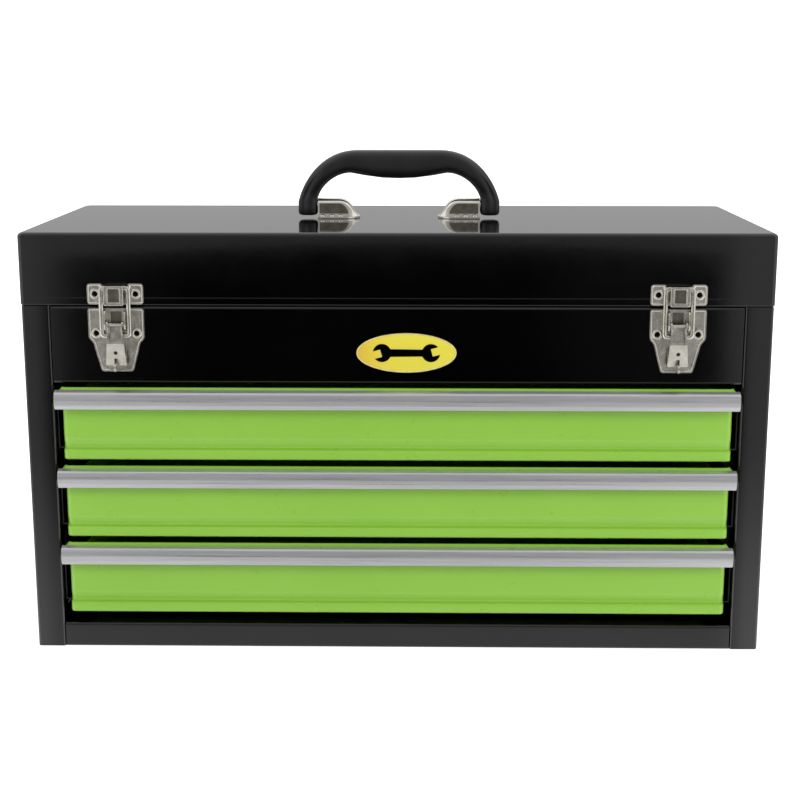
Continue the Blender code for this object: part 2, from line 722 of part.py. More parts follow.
def handle_grip(black_plastic):
    """The moulded grip, deeper front to back along its top than at its legs, with a hole in each foot."""
    half = handle_half()
    stations = [(1, outer, inner) for outer, inner in half]
    stations += [(-1, outer, inner) for outer, inner in half[-2::-1]]
    rings = []
    for side, outer, inner in stations:
        outer = Vector((side * outer[0], outer[1]))
        inner = Vector((side * inner[0], inner[1]))
        middle = (outer + inner) / 2
        blend = min(1.0, max(0.0, (middle.y - GRIP_START) / GRIP_BLEND))
        depth = LEG_HALF_DEPTH + (GRIP_HALF_DEPTH - LEG_HALF_DEPTH) * blend
        if middle.y < HANDLE_FOOT + 1:
            depth *= 0.8
        ring = []
        for step in range(16):
            angle = 2 * math.pi * (step + 0.5) / 16
            across = math.copysign(abs(math.cos(angle)) ** 0.6, math.cos(angle))
            deep = math.copysign(abs(math.sin(angle)) ** 0.6, math.sin(angle))
            point = middle + (outer - inner) / 2 * across
            ring.append(spot("Y", HANDLE_Y + depth * deep, point.x, point.y))
        rings.append(ring)
    holes = []
    for side in (-1, 1):
        ends = sorted((side * BRACKET_X[1], side * (HANDLE_PIN_X[1] + PIN_CLEARANCE)))
        holes.append(rod("X", ends[0], ends[1], (HANDLE_Y, HANDLE_PIVOT_Z), HANDLE_PIN_RADIUS + 0.2))
    return piece("handle_grip", skin(rings), black_plastic, cut=holes)


def handle_pin(name, side, steel):
    ends = sorted(side * x for x in HANDLE_PIN_X)
    return piece(name, rod("X", ends[0], ends[1], (HANDLE_Y, HANDLE_PIVOT_Z), HANDLE_PIN_RADIUS), steel)


def handle_bracket(name, side, nickel):
    """A stamped saddle with a flange at the front and back and an arch over the handle's pin."""
    floor = LID_TOP + GAP
    arch = arc((HANDLE_Y, HANDLE_PIVOT_Z), HANDLE_PIN_RADIUS + 0.4, 180, 0, 8)
    path = [(HANDLE_Y - BRACKET_REACH, floor), (HANDLE_Y - ARCH_REACH, floor)] + arch
    path += [(HANDLE_Y + ARCH_REACH, floor), (HANDLE_Y + BRACKET_REACH, floor)]
    ends = sorted(side * x for x in BRACKET_X)
    return piece(name, prism(sheet_outline(path, FITTING_SHEET), "X", ends[0], ends[1]), nickel)


# The whole chest.

SIDES = {"left": -1, "right": 1}


def build_cabinet(black, steel, yellow):
    for side_name, side in SIDES.items():
        side_panel(f"side_panel_{side_name}", side, black)
        slide_upright(f"slide_upright_{side_name}", side, steel)
    back_panel(black)
    bottom_pan(black)
    upper_front_panel(black)
    piece("till_floor", prism(floor_outline(), "Z", TILL_FLOOR, TILL_FLOOR + SHEET), black)
    badge(yellow)
    hinge_leaf("hinge_leaf_cabinet", 1, 0, steel)
    pin_half_length = HINGE_HALF_LENGTH + 1
    pin = rod("X", -pin_half_length, pin_half_length, (HINGE_Y, HINGE_Z), KNUCKLE_BORE - PIN_CLEARANCE)
    piece("hinge_pin", pin, steel)
    stay_rivet("stay_pivot", STAY_PIVOT, -SIDE_X, steel)


def build_drawers(green, aluminium, slide_steel, cage_steel):
    for number in range(1, DRAWER_COUNT + 1):
        bottom = LOWEST_DRAWER + (DRAWER_COUNT - number) * DRAWER_PITCH
        moving = [drawer_tray(number, bottom, green), drawer_front(number, bottom, green)]
        moving.append(pull_trim(number, bottom, aluminium))
        cages = []
        for side_name, side in SIDES.items():
            member, cage = slide_set(number, side_name, side, bottom, slide_steel, cage_steel)
            moving.append(member)
            cages.append(cage)
        centre = bottom + SLIDE_CENTRE
        hang(f"drawer_{number}_axis", (0, FRONT_Y, centre), moving)
        hang(f"cages_{number}_axis", (0, FRONT_Y, centre), cages)


def build_lid(black, steel, nickel):
    moving = [lid_shell(black), hinge_leaf("hinge_leaf_lid", -1, 1, steel)]
    moving.append(stay_rivet("stay_stud", STAY_STUD, -SIDE_X - LID_OVERHANG, steel))
    for side_name, side in SIDES.items():
        moving.append(latch_keeper(f"latch_keeper_{side_name}", side * LATCH_X, nickel))
        moving.append(handle_bracket(f"handle_bracket_{side_name}", side, nickel))
    hang("lid_axis", (0, HINGE_Y, HINGE_Z), moving)
    hang("lid_stay_axis", (0, HINGE_Y + STAY_PIVOT[0], HINGE_Z + STAY_PIVOT[1]), [lid_stay(steel)])


def build_latches(nickel):
    for side_name, side in SIDES.items():
        x = side * LATCH_X
        latch_base(f"latch_base_{side_name}", x, nickel)
        latch_pin(f"latch_pin_{side_name}", x, nickel)
        lever = latch_lever(f"latch_lever_{side_name}", x, nickel)
        bail = latch_bail(f"latch_bail_{side_name}", x, nickel)
        hang(f"lever_{side_name}_axis", (x, ahead(LEVER_PIVOT_D), LEVER_PIVOT_Z), [lever])
        hang(f"bail_{side_name}_axis", (x, ahead(BAIL_D), BAIL_PIVOT_Z), [bail])


def build_handle(plastic, steel):
    moving = [handle_grip(plastic)]
    for side_name, side in SIDES.items():
        moving.append(handle_pin(f"handle_pin_{side_name}", side, steel))
    hang("handle_axis", (0, HANDLE_Y, HANDLE_PIVOT_Z), moving)


def main():
    for thing in list(bpy.data.objects):
        bpy.data.objects.remove(thing)
    black = paint("gloss_black_paint", (0.012, 0.012, 0.013), 0.14, 0.0)
    green = paint("green_enamel", (0.30, 0.61, 0.07), 0.28, 0.0)
    aluminium = paint("trim_aluminium", (0.78, 0.78, 0.79), 0.3, 1.0)
    steel = paint("zinc_steel", (0.62, 0.63, 0.64), 0.35, 1.0)
    slide_steel = paint("black_zinc", (0.03, 0.03, 0.032), 0.4, 0.8)
    cage_steel = paint("cage_steel", (0.45, 0.44, 0.42), 0.4, 1.0)
    nickel = paint("nickel_plate", (0.71, 0.68, 0.62), 0.22, 1.0)
    plastic = paint("handle_plastic", (0.02, 0.02, 0.021), 0.45, 0.0)
    yellow = paint("badge_yellow", (0.75, 0.62, 0.04), 0.3, 0.0)
    build_cabinet(black, steel, yellow)
    build_drawers(green, aluminium, slide_steel, cage_steel)
    build_lid(black, steel, nickel)
    build_latches(nickel)
    build_handle(plastic, steel)


main()
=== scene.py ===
"""The looks of a portable three-drawer tool chest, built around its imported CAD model.

Sizes are in millimetres here, and the makers of meshes turn them into metres. Places come from the CAD nodes.
"""

import json
import math

import bmesh
import bpy
from mathutils import Matrix, Vector

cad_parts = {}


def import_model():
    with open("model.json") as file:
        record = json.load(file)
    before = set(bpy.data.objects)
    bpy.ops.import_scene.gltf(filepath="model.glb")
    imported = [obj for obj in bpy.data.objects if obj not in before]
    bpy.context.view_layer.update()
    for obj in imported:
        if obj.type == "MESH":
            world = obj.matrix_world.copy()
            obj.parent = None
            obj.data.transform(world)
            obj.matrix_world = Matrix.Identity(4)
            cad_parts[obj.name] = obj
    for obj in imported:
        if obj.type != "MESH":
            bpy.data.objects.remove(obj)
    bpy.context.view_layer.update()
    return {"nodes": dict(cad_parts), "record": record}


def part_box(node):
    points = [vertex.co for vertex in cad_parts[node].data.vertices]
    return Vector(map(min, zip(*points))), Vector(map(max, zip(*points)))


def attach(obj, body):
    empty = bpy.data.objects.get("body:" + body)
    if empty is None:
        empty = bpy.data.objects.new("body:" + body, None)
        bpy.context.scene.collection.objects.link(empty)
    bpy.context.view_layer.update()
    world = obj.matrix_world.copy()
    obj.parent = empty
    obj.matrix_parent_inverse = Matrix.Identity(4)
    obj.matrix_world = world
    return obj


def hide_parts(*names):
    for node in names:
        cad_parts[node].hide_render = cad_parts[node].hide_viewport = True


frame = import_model()

MM = 0.001
BODY_OF = {node: body for body, nodes in frame["record"]["behaviour"]["bodies"].items() for node in nodes}
SLOT_OF = {entry["node"]: entry["material_slot"] for entry in frame["record"]["subparts"]}
SIDES = {"left": -1, "right": 1}
DRAWERS = (1, 2, 3)


def corners(node):
    """A CAD node's lowest and highest corners, in millimetres."""
    low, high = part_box(node)
    return low / MM, high / MM


def middle(node):
    """The place halfway between a CAD node's corners."""
    low, high = corners(node)
    return [(a + b) / 2 for a, b in zip(low, high)]


SIDE_LOW, SIDE_HIGH = corners("side_panel_right")
LID_LOW, LID_HIGH = corners("lid_shell")
TILL_LOW, TILL_HIGH = corners("till_floor")
SHEET = TILL_HIGH.z - TILL_LOW.z
SIDE_X = SIDE_HIGH.x
OPENING_X = SIDE_LOW.x
FRONT_Y = SIDE_LOW.y
BACK_Y = SIDE_HIGH.y

# Folds and hems.
GAP = 0.3
FLANGE = 12.0
FOLD = 1.2
HEM_HEIGHT = 7.0
HEM_THICKNESS = 1.8
LID_RADIUS = 3.0
LID_CORNER = 3.0
LID_GROOVE = 5.5

# The drawers' fronts and slides.
FRONT_X = 234.5
FRONT_LIP = 6.0
FRONT_ROUND = 3.4
RETURN_DEPTH = 5.0
RETURN_TOP = 50.4
TRIM_THICKNESS = 1.0
BALL_X = 232.7
BALL_HEIGHT = 13.4
BALL_RADIUS = 2.7
BALL_COUNT = 7

# The hinge's rivets, and the outer face of its leaves.
HINGE_RIVETS = 16
HINGE_FACE = 110.5

# The latches, with d measured outwards from the cabinet's front. Cuts start at CUT_D, past their plates.
LATCH_SHEET = 1.2
PLATE_D = 1.9
CUT_D = 3.0
EYELET_X = 14.0
EYELET_HOLE = 2.0
RIM_BASE = 0.9
RIM_HEIGHT = 1.0
RIM_WIDTH = 1.7
WINDOW_X = 4.3
LEVER_D = 5.0
LEVER_Z = 237.0
LEVER_BORE = 1.5
TAB_TOP = 224.2
TAB_LEAN = 0.14
BAIL_D = 4.2
BAIL_Z = 229.0
BAIL_X = 9.5
BAIL_BORE = 1.75
WIRE_RADIUS = 1.3
WIRE_BEND = 2.4

# The handle.
GRIP_START = 318.0
GRIP_BLEND = 16.0
LEG_DEPTH = 7.0


# Materials. Each pattern is placed by the object's own coordinates, so that it moves with its piece.


class Tree:
    """Short ways to build a node tree."""

    def __init__(self, tree):
        self.nodes, self.links = tree.nodes, tree.links

    def add(self, kind, inputs):
        """A new node. Each of its named or numbered inputs is set to a value or linked to an output."""
        node = self.nodes.new(f"ShaderNode{kind}")
        for socket, value in inputs.items():
            if isinstance(value, bpy.types.NodeSocket):
                self.links.new(value, node.inputs[socket])
            else:
                node.inputs[socket].default_value = value
        return node


class Paint(Tree):
    """A node material with a Principled shader and short ways to add patterns to it."""

    def __init__(self, name, colour, roughness, metallic=0.0, slot=None):
        self.slot = slot or name
        self.material = bpy.data.materials.new(name)
        self.material.use_nodes = True
        self.material.diffuse_color = (*colour, 1.0)
        super().__init__(self.material.node_tree)
        self.shader = self.nodes["Principled BSDF"]
        self.set("Base Color", (*colour, 1.0))
        self.set("Roughness", roughness)
        self.set("Metallic", metallic)
        self.coordinates = self.add("TexCoord", {}).outputs["Object"]

    def set(self, socket, value):
        self.shader.inputs[socket].default_value = value

    def drive(self, socket, output):
        self.links.new(output, self.shader.inputs[socket])

    def noise(self, scale, detail=2.0, roughness=0.5, stretch=(1, 1, 1)):
        """Noise with features about 1 / scale metres across. A small number stretches it along that axis."""
        place = self.add("Mapping", {"Vector": self.coordinates, "Scale": stretch}).outputs["Vector"]
        inputs = {"Vector": place, "Scale": scale, "Detail": detail, "Roughness": roughness}
        return self.add("TexNoise", inputs).outputs["Fac"]

    def flakes(self, scale):
        """Irregular cells about 1 / scale metres across, each with its own value."""
        cells = self.add("TexVoronoi", {"Vector": self.coordinates, "Scale": scale})
        return self.add("SeparateColor", {"Color": cells.outputs["Color"]}).outputs["Red"]

    def between(self, pattern, low, high, low_at=0.3, high_at=0.7):
        """The pattern turned into numbers from low to high."""
        inputs = {"Value": pattern, "From Min": low_at, "From Max": high_at, "To Min": low, "To Max": high}
        return self.add("MapRange", inputs).outputs["Result"]

    def tint(self, pattern, *stops):
        """Colours that follow a pattern, from (place, colour) stops."""
        ramp = self.add("ValToRGB", {"Fac": pattern})
        elements = ramp.color_ramp.elements
        while len(elements) < len(stops):
            elements.new(0.5)
        for element, (place, colour) in zip(elements, stops):
            element.position = place
            element.color = (*colour, 1.0)
        self.drive("Base Color", ramp.outputs["Color"])

    def wear(self, pattern, low, high):
        """A roughness from low to high that follows a pattern."""
        self.drive("Roughness", self.between(pattern, low, high))

    def coat(self, weight, roughness):
        self.set("Coat Weight", weight)
        self.set("Coat Roughness", roughness)

    def relief(self, *layers):
        """Bump from (pattern, height in millimetres) layers, one on top of the other."""
        below = {}
        for pattern, height in layers:
            bump = self.add("Bump", {"Height": pattern, "Distance": height * MM, "Strength": 1.0, **below})
            below = {"Normal": bump.outputs["Normal"]}
        self.drive("Normal", below["Normal"])


def gloss_black_paint():
    """Black enamel, glossy with a faint orange peel and finer smears that spread its highlights."""
    paint = Paint("gloss_black_paint", (0.001, 0.001, 0.001), 0.08)
    cloud = paint.noise(9, detail=4)
    paint.tint(cloud, (0.35, (0.0003, 0.0003, 0.0004)), (0.65, (0.0008, 0.0008, 0.0009)))
    paint.wear(paint.noise(40, detail=6, roughness=0.7), 0.05, 0.09)
    paint.coat(0.35, 0.03)
    paint.relief((paint.noise(260, detail=1), 0.004), (paint.noise(1400, detail=2), 0.0005))
    return paint


def green_enamel():
    """Bright green enamel over steel, less glossy than the black, with orange peel."""
    paint = Paint("green_enamel", (0.20, 0.41, 0.035), 0.3)
    cloud = paint.noise(7, detail=3)
    paint.tint(cloud, (0.3, (0.170, 0.362, 0.027)), (0.7, (0.187, 0.382, 0.033)))
    paint.wear(paint.noise(55, detail=5, roughness=0.7), 0.26, 0.36)
    paint.coat(0.25, 0.12)
    paint.relief((paint.noise(330, detail=1), 0.004), (paint.noise(1600, detail=2), 0.001))
    return paint


def brushed_aluminium():
    """Anodised aluminium with fine lines along its length."""
    paint = Paint("trim_aluminium", (0.60, 0.60, 0.62), 0.42, 0.9)
    lines = paint.noise(900, detail=3, roughness=0.7, stretch=(0.012, 1, 1))
    paint.tint(lines, (0.35, (0.47, 0.47, 0.485)), (0.65, (0.56, 0.56, 0.575)))
    paint.wear(lines, 0.26, 0.34)
    paint.relief((lines, 0.002), (paint.noise(30, detail=1), 0.01))
    return paint


def nickel_plate():
    """Polished nickel with a warm tint, cloudy in places, over stamped steel that isn't quite flat."""
    paint = Paint("nickel_plate", (0.71, 0.68, 0.62), 0.2, 1.0)
    cloud = paint.noise(120, detail=4, roughness=0.65)
    paint.tint(cloud, (0.3, (0.50, 0.475, 0.415)), (0.7, (0.66, 0.64, 0.585)))
    paint.wear(paint.noise(260, detail=5, roughness=0.7), 0.18, 0.30)
    paint.relief((paint.noise(140, detail=2), 0.03), (paint.noise(2500, detail=2), 0.001))
    return paint


def bright_nickel():
    """Nickel painted lighter as a highlight, on the handle's saddles and the latches' rims. It is also
    smoother than the plain plate.
    """
    paint = Paint("bright_nickel", (0.76, 0.73, 0.67), 0.14, 1.0, slot="nickel_plate")
    cloud = paint.noise(90, detail=4)
    paint.tint(cloud, (0.3, (0.68, 0.65, 0.58)), (0.7, (0.80, 0.775, 0.71)))
    paint.wear(paint.noise(260, detail=4), 0.11, 0.18)
    paint.relief((paint.noise(160, detail=2), 0.012))
    return paint


def dull_nickel():
    """Nickel darkened as painted shade, for pressed recesses and the panels on the handle's saddles."""
    paint = Paint("dull_nickel", (0.32, 0.29, 0.25), 0.35, 1.0, slot="nickel_plate")
    cloud = paint.noise(220, detail=4)
    paint.tint(cloud, (0.3, (0.11, 0.10, 0.08)), (0.7, (0.19, 0.175, 0.15)))
    paint.wear(paint.noise(500, detail=4), 0.28, 0.42)
    paint.relief((paint.noise(400, detail=2), 0.01))
    return paint


def zinc_steel():
    """Bright zinc plate with a faint spangle and drawing marks."""
    paint = Paint("zinc_steel", (0.62, 0.63, 0.64), 0.32, 1.0)
    paint.tint(paint.flakes(420), (0.0, (0.55, 0.56, 0.575)), (1.0, (0.70, 0.70, 0.70)))
    paint.wear(paint.noise(300, detail=5), 0.26, 0.42)
    paint.relief((paint.noise(600, detail=2, stretch=(1, 0.03, 1)), 0.006), (paint.noise(1800), 0.002))
    return paint


def black_zinc():
    """Black zinc plate over drawn steel, with fine marks along its length. Its near-black colour also paints
    the shade in the gaps beside the drawers.
    """
    paint = Paint("black_zinc", (0.03, 0.03, 0.032), 0.38, 0.8)
    cloud = paint.noise(90, detail=4)
    paint.tint(cloud, (0.3, (0.022, 0.022, 0.024)), (0.7, (0.040, 0.040, 0.042)))
    paint.wear(paint.noise(300, detail=5), 0.32, 0.46)
    paint.relief((paint.noise(600, detail=2, stretch=(1, 0.03, 1)), 0.006), (paint.noise(1800), 0.002))
    return paint


def cage_steel():
    """Plain strip, oiled and a little brown."""
    paint = Paint("cage_steel", (0.45, 0.44, 0.42), 0.4, 1.0)
    cloud = paint.noise(180, detail=5)
    paint.tint(cloud, (0.3, (0.36, 0.34, 0.31)), (0.7, (0.50, 0.49, 0.47)))
    paint.wear(paint.noise(400, detail=4), 0.28, 0.5)
    paint.relief((paint.noise(900, detail=2), 0.004))
    return paint


def handle_plastic():
    """Black moulded plastic with a fine leather-like grain."""
    paint = Paint("handle_plastic", (0.016, 0.016, 0.017), 0.42)
    cloud = paint.noise(60, detail=4)
    paint.tint(cloud, (0.3, (0.003, 0.003, 0.0033)), (0.7, (0.006, 0.006, 0.0064)))
    paint.wear(paint.noise(500, detail=4), 0.30, 0.42)
    paint.relief((paint.noise(900, detail=3, roughness=0.6), 0.05), (paint.noise(90, detail=2), 0.08))
    return paint


def badge_yellow():
    """Printed yellow under clear resin, warmer towards the left end."""
    paint = Paint("badge_yellow", (0.70, 0.60, 0.05), 0.2)
    low, high = corners("badge")
    across = paint.add("SeparateXYZ", {"Vector": paint.coordinates}).outputs["X"]
    along = paint.between(across, 0.0, 1.0, low.x * MM, high.x * MM)
    warm, middle_tone, plain = (0.50, 0.33, 0.03), (0.53, 0.45, 0.04), (0.53, 0.475, 0.045)
    paint.tint(along, (0.0, warm), (0.3, middle_tone), (1.0, plain))
    paint.wear(paint.noise(300, detail=3), 0.15, 0.24)
    paint.coat(0.8, 0.04)
    paint.relief((paint.noise(200, detail=1), 0.01))
    return paint


def badge_rim():
    """The badge's raised rim: paler and a little worn."""
    paint = Paint("badge_rim", (0.60, 0.54, 0.22), 0.3, 0.2, slot="badge_yellow")
    cloud = paint.noise(160, detail=4)
    paint.tint(cloud, (0.3, (0.55, 0.48, 0.16)), (0.7, (0.62, 0.56, 0.26)))
    paint.wear(paint.noise(400, detail=3), 0.2, 0.36)
    paint.relief((paint.noise(300, detail=1), 0.01))
    return paint


BLACK = gloss_black_paint()
GREEN = green_enamel()
ALUMINIUM = brushed_aluminium()
NICKEL = nickel_plate()
HIGHLIGHT_NICKEL = bright_nickel()
SHADE_NICKEL = dull_nickel()
ZINC = zinc_steel()
SHADE_BLACK_ZINC = black_zinc()
CAGE = cage_steel()
PLASTIC = handle_plastic()
YELLOW = badge_yellow()
RIM = badge_rim()
SLOT_PAINTS = (BLACK, GREEN, ALUMINIUM, NICKEL, ZINC, SHADE_BLACK_ZINC, CAGE, PLASTIC, YELLOW)
PAINTS = {paint.slot: paint for paint in SLOT_PAINTS}


# Outlines and meshes.


def arc(centre, radius, start, end, steps):
    """Points along an arc between two angles in degrees, both ends included."""
    points = []
    for step in range(steps + 1):
        angle = math.radians(start + (end - start) * step / steps)
        points.append(Vector((centre[0] + radius * math.cos(angle), centre[1] + radius * math.sin(angle))))
    return points


def turns(count, start=0.0):
    """Equally spaced angles once around, in radians, from a share of a step onwards."""
    return [2 * math.pi * (step + start) / count for step in range(count)]


def bezier(first, second, third, fourth, steps):
    """Points along a cubic curve, both ends included."""
    points = []
    for step in range(steps + 1):
        t = step / steps
        weights = ((1 - t) ** 3, 3 * t * (1 - t) ** 2, 3 * t * t * (1 - t), t**3)
        corners_2d = (first, second, third, fourth)
        points.append(Vector([sum(w * c[axis] for w, c in zip(weights, corners_2d)) for axis in (0, 1)]))
    return points


def folded(path, thickness, radius, steps=5):
    """The closed outline of a sheet folded along a path, with its thickness to the left.

    Its bends have one radius on their inside, or one each.
    """
    path = [Vector(point) for point in path]
    radii = radius if isinstance(radius, list) else [radius] * (len(path) - 2)
    near, far = [], []
    for index, point in enumerate(path):
        before = (point - path[index - 1]).normalized() if index else None
        after = (path[index + 1] - point).normalized() if index < len(path) - 1 else None
        if before is None or after is None:
            along = after or before
            left = Vector((-along.y, along.x))
            near.append(point)
            far.append(point + left * thickness)
            continue
        turn = math.atan2(before.x * after.y - before.y * after.x, before.dot(after))
        side = 1 if turn > 0 else -1
        near_radius = radii[index - 1] + thickness if side > 0 else radii[index - 1]
        reach = near_radius * math.tan(abs(turn) / 2)
        left = Vector((-before.y, before.x))
        centre = point - before * reach + left * side * near_radius
        for step in range(steps + 1):
            angle = turn * step / steps
            out = Matrix.Rotation(angle, 2) @ (-left * side)
            near.append(centre + out * near_radius)
            far.append(centre + out * (near_radius - side * thickness))
    return near + far[::-1]


def sheet_line(path, thickness):
    """The closed outline of a sheet along a path, with its thickness to the left and plain corners."""
    path = [Vector(point) for point in path]
    far = []
    for index, point in enumerate(path):
        before = (point - path[max(index - 1, 0)]).normalized()
        after = (path[min(index + 1, len(path) - 1)] - point).normalized()
        if index == 0:
            before = after
        if index == len(path) - 1:
            after = before
        normal = Vector((-before.y - after.y, before.x + after.x)).normalized()
        lean = max(0.6, normal.dot(Vector((-before.y, before.x))))
        far.append(point + normal * (thickness / lean))
    return path + far[::-1]


def rounded(low, high, radius, steps=4):
    """A rectangle with round corners."""
    points = []
    for centre_a, centre_b, start in (
        (high[0] - radius, high[1] - radius, 0),
        (low[0] + radius, high[1] - radius, 90),
        (low[0] + radius, low[1] + radius, 180),
        (high[0] - radius, low[1] + radius, 270),
    ):
        points += arc((centre_a, centre_b), radius, start, start + 90, steps)
    return points


def round_corner(before, point, after, reach, steps):
    """Points along a curve that cuts a corner, from a reach before it to a reach after it."""
    start = point + (before - point).normalized() * reach
    end = point + (after - point).normalized() * reach
    points = []
    for step in range(steps + 1):
        t = step / steps
        points.append((1 - t) ** 2 * start + 2 * t * (1 - t) * point + t * t * end)
    return points


def soften(outline, radius, steps=4):
    """A closed outline with each of its corners rounded."""
    outline = [Vector(point) for point in outline]
    points = []
    for index, point in enumerate(outline):
        before, after = outline[index - 1], outline[(index + 1) % len(outline)]
        reach = min(radius, (before - point).length * 0.45, (after - point).length * 0.45)
        points += round_corner(before, point, after, reach, steps)
    return points


def rectangle(half_width, bottom, top):
    return [(-half_width, bottom), (half_width, bottom), (half_width, top), (-half_width, top)]


def squarish(wave, power):
    """A sine or cosine drawn towards 1 and -1, which makes a round section squarer."""
    return math.copysign(abs(wave) ** power, wave)


def spot(axis, along, a, b):
    """A point in metres from its place along an axis and its two coordinates across it."""
    places = {"X": (along, a, b), "Y": (a, along, b), "Z": (a, b, along)}
    return Vector(places[axis]) * MM


def skin(rings, closed=False):
    """A mesh over rings of equally many points, in metres: capped at its ends, or closed end to end."""
    mesh = bmesh.new()
    loops = [[mesh.verts.new(point) for point in ring] for ring in rings]
    pairs = list(zip(loops, loops[1:]))
    if closed:
        pairs.append((loops[-1], loops[0]))
    for lower, upper in pairs:
        for i in range(len(lower)):
            j = (i + 1) % len(lower)
            mesh.faces.new((lower[i], lower[j], upper[j], upper[i]))
    if not closed:
        mesh.faces.new(loops[0])
        mesh.faces.new(loops[-1])
    bmesh.ops.recalc_face_normals(mesh, faces=mesh.faces)
    return mesh


def prism(outline, axis, low, high):
    return skin([[spot(axis, along, a, b) for a, b in outline] for along in (low, high)])


def box(low, high):
    outline = [(low[0], low[1]), (high[0], low[1]), (high[0], high[1]), (low[0], high[1])]
    return prism(outline, "Z", low[2], high[2])


def turned(profile, axis, centre, segments=32):
    """A round piece: a profile of (along, radius) points turned about an axis, capped at both ends."""
    rings = []
    for along, radius in profile:
        ring = []
        for angle in turns(segments):
            a, b = centre[0] + radius * math.cos(angle), centre[1] + radius * math.sin(angle)
            ring.append(spot(axis, along, a, b))
        rings.append(ring)
    return skin(rings)


def bore(axis, low, high, radius, centre):
    """The tool for a round hole along an axis."""
    return turned([(low, radius), (high, radius)], axis, centre)


def merge(meshes):
    """Several closed meshes as one mesh of separate bodies."""
    whole = bmesh.new()
    for mesh in meshes:
        data = bpy.data.meshes.new("part")
        mesh.to_mesh(data)
        mesh.free()
        whole.from_mesh(data)
        bpy.data.meshes.remove(data)
    return whole


def add_object(name, mesh):
    data = bpy.data.meshes.new(name)
    mesh.to_mesh(data)
    mesh.free()
    thing = bpy.data.objects.new(name, data)
    bpy.context.scene.collection.objects.link(thing)
    return thing


def bake(thing):
    """Replaces an object's mesh with what its modifiers make of it."""
    bpy.context.view_layer.update()
    graph = bpy.context.evaluated_depsgraph_get()
    mesh = bpy.data.meshes.new_from_object(thing.evaluated_get(graph))
    thing.modifiers.clear()
    thing.data = mesh


def combine(thing, meshes, operation):
    """Joins closed meshes to an object, or cuts them from it."""
    for mesh in meshes:
        tool = add_object("tool", mesh)
        modifier = thing.modifiers.new("combine", "BOOLEAN")
        modifier.operation = operation
        modifier.solver = "EXACT"
        modifier.object = tool
        bake(thing)
        bpy.data.objects.remove(tool)


def ease_edges(thing, width, segments=2, angle=40):
    """Rounds every edge sharper than an angle by a width in millimetres."""
    modifier = thing.modifiers.new("edges", "BEVEL")
    modifier.width = width * MM
    modifier.segments = segments
    modifier.limit_method = "ANGLE"
    modifier.angle_limit = math.radians(angle)
    modifier.harden_normals = False
    modifier.miter_outer = "MITER_ARC"
    bake(thing)


def smooth(thing, angle=35):
    """Smooth shading that stays flat across large faces and breaks at edges sharper than an angle."""
    thing.data.shade_smooth()
    thing.data.set_sharp_from_angle(angle=math.radians(angle))
    modifier = thing.modifiers.new("normals", "WEIGHTED_NORMAL")
    modifier.keep_sharp = True
    modifier.weight = 80
    bake(thing)


def show(
    name, mesh, node, joined=(), cut=(), edges=0.0, segments=2, sharp=35, paint=None, stands_for=True
):
    """A finished piece, on a CAD node's body and in that node's finish. It may stand for the node."""
    thing = add_object(name, mesh)
    combine(thing, joined, "UNION")
    combine(thing, cut, "DIFFERENCE")
    if edges:
        ease_edges(thing, edges, segments)
    smooth(thing, sharp)
    paint = paint or PAINTS[SLOT_OF[node]]
    thing.data.materials.clear()
    thing.data.materials.append(paint.material)
    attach(thing, BODY_OF[node])
    if stands_for:
        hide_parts(node)
    return thing


def add_on(name, mesh, node, **finish):
    """A finished piece that belongs to a CAD node but doesn't stand for it."""
    return show(name, mesh, node, stands_for=False, **finish)


def refine(node, edges=0.25, segments=2):
    """A CAD node's own shape with its edges rounded, standing for it."""
    mesh = bmesh.new()
    mesh.from_mesh(frame["nodes"][node].data)
    bmesh.ops.remove_doubles(mesh, verts=mesh.verts, dist=0.002 * MM)
    bmesh.ops.dissolve_limit(mesh, angle_limit=math.radians(1), verts=mesh.verts, edges=mesh.edges)
    for face in mesh.faces:
        face.smooth = True
    return show(f"{node}_finished", mesh, node, edges=edges, segments=segments)


def rod(name, bevel, narrower, segments):
    """A pin along X that stands for its CAD node, its ends bevelled over a length and so much narrower."""
    low, high = corners(name)
    radius = (high.z - low.z) / 2
    end = radius - narrower
    profile = [(low.x, end), (low.x + bevel, radius), (high.x - bevel, radius), (high.x, end)]
    show(f"{name}_rod", turned(profile, "X", middle(name)[1:], segments), name, sharp=40)


def ahead(d):
    """The Y of a point that stands d in front of the cabinet."""
    return FRONT_Y - d


# The stage, the light and the camera.


def glowing(name, grey, glow):
    """A plain pale material for the stage, which glows by itself."""
    material = bpy.data.materials.new(name)
    material.use_nodes = True
    shader = material.node_tree.nodes["Principled BSDF"]
    shader.inputs["Base Color"].default_value = (grey, grey, grey, 1)
    shader.inputs["Roughness"].default_value = 0.6
    shader.inputs["Emission Color"].default_value = (1, 1, 1, 1)
    shader.inputs["Emission Strength"].default_value = glow
    return material


def cyclorama():
    """A pale floor that curves up far behind the object."""
    half_width, front, back, height, bend = 4.0, -4.0, 2.2, 3.0, 1.0
    profile = [(front, 0.0), (back - bend, 0.0)]
    profile += [(back - bend + p.x, bend + p.y) for p in arc((0, 0), bend, -90, 0, 16)]
    profile.append((back, height))
    mesh = bmesh.new()
    rows = [[mesh.verts.new((x, y, z)) for x in (-half_width, half_width)] for y, z in profile]
    for lower, upper in zip(rows, rows[1:]):
        mesh.faces.new((lower[0], lower[1], upper[1], upper[0]))
    floor = add_object("floor", mesh)
    smooth(floor, 60)
    floor.data.materials.append(glowing("floor", 0.93, 0.42))
    floor.visible_glossy = False


def backdrop():
    """A white dome around the stage that only the camera sees, so that every view has a pale background."""
    mesh = bmesh.new()
    bmesh.ops.create_uvsphere(mesh, u_segments=48, v_segments=24, radius=7.0)
    shell = add_object("backdrop", mesh)
    shell.data.materials.append(glowing("backdrop", 0.0, 1.0))
    shell.visible_diffuse = False
    shell.visible_glossy = False
    shell.visible_transmission = False
    shell.visible_shadow = False


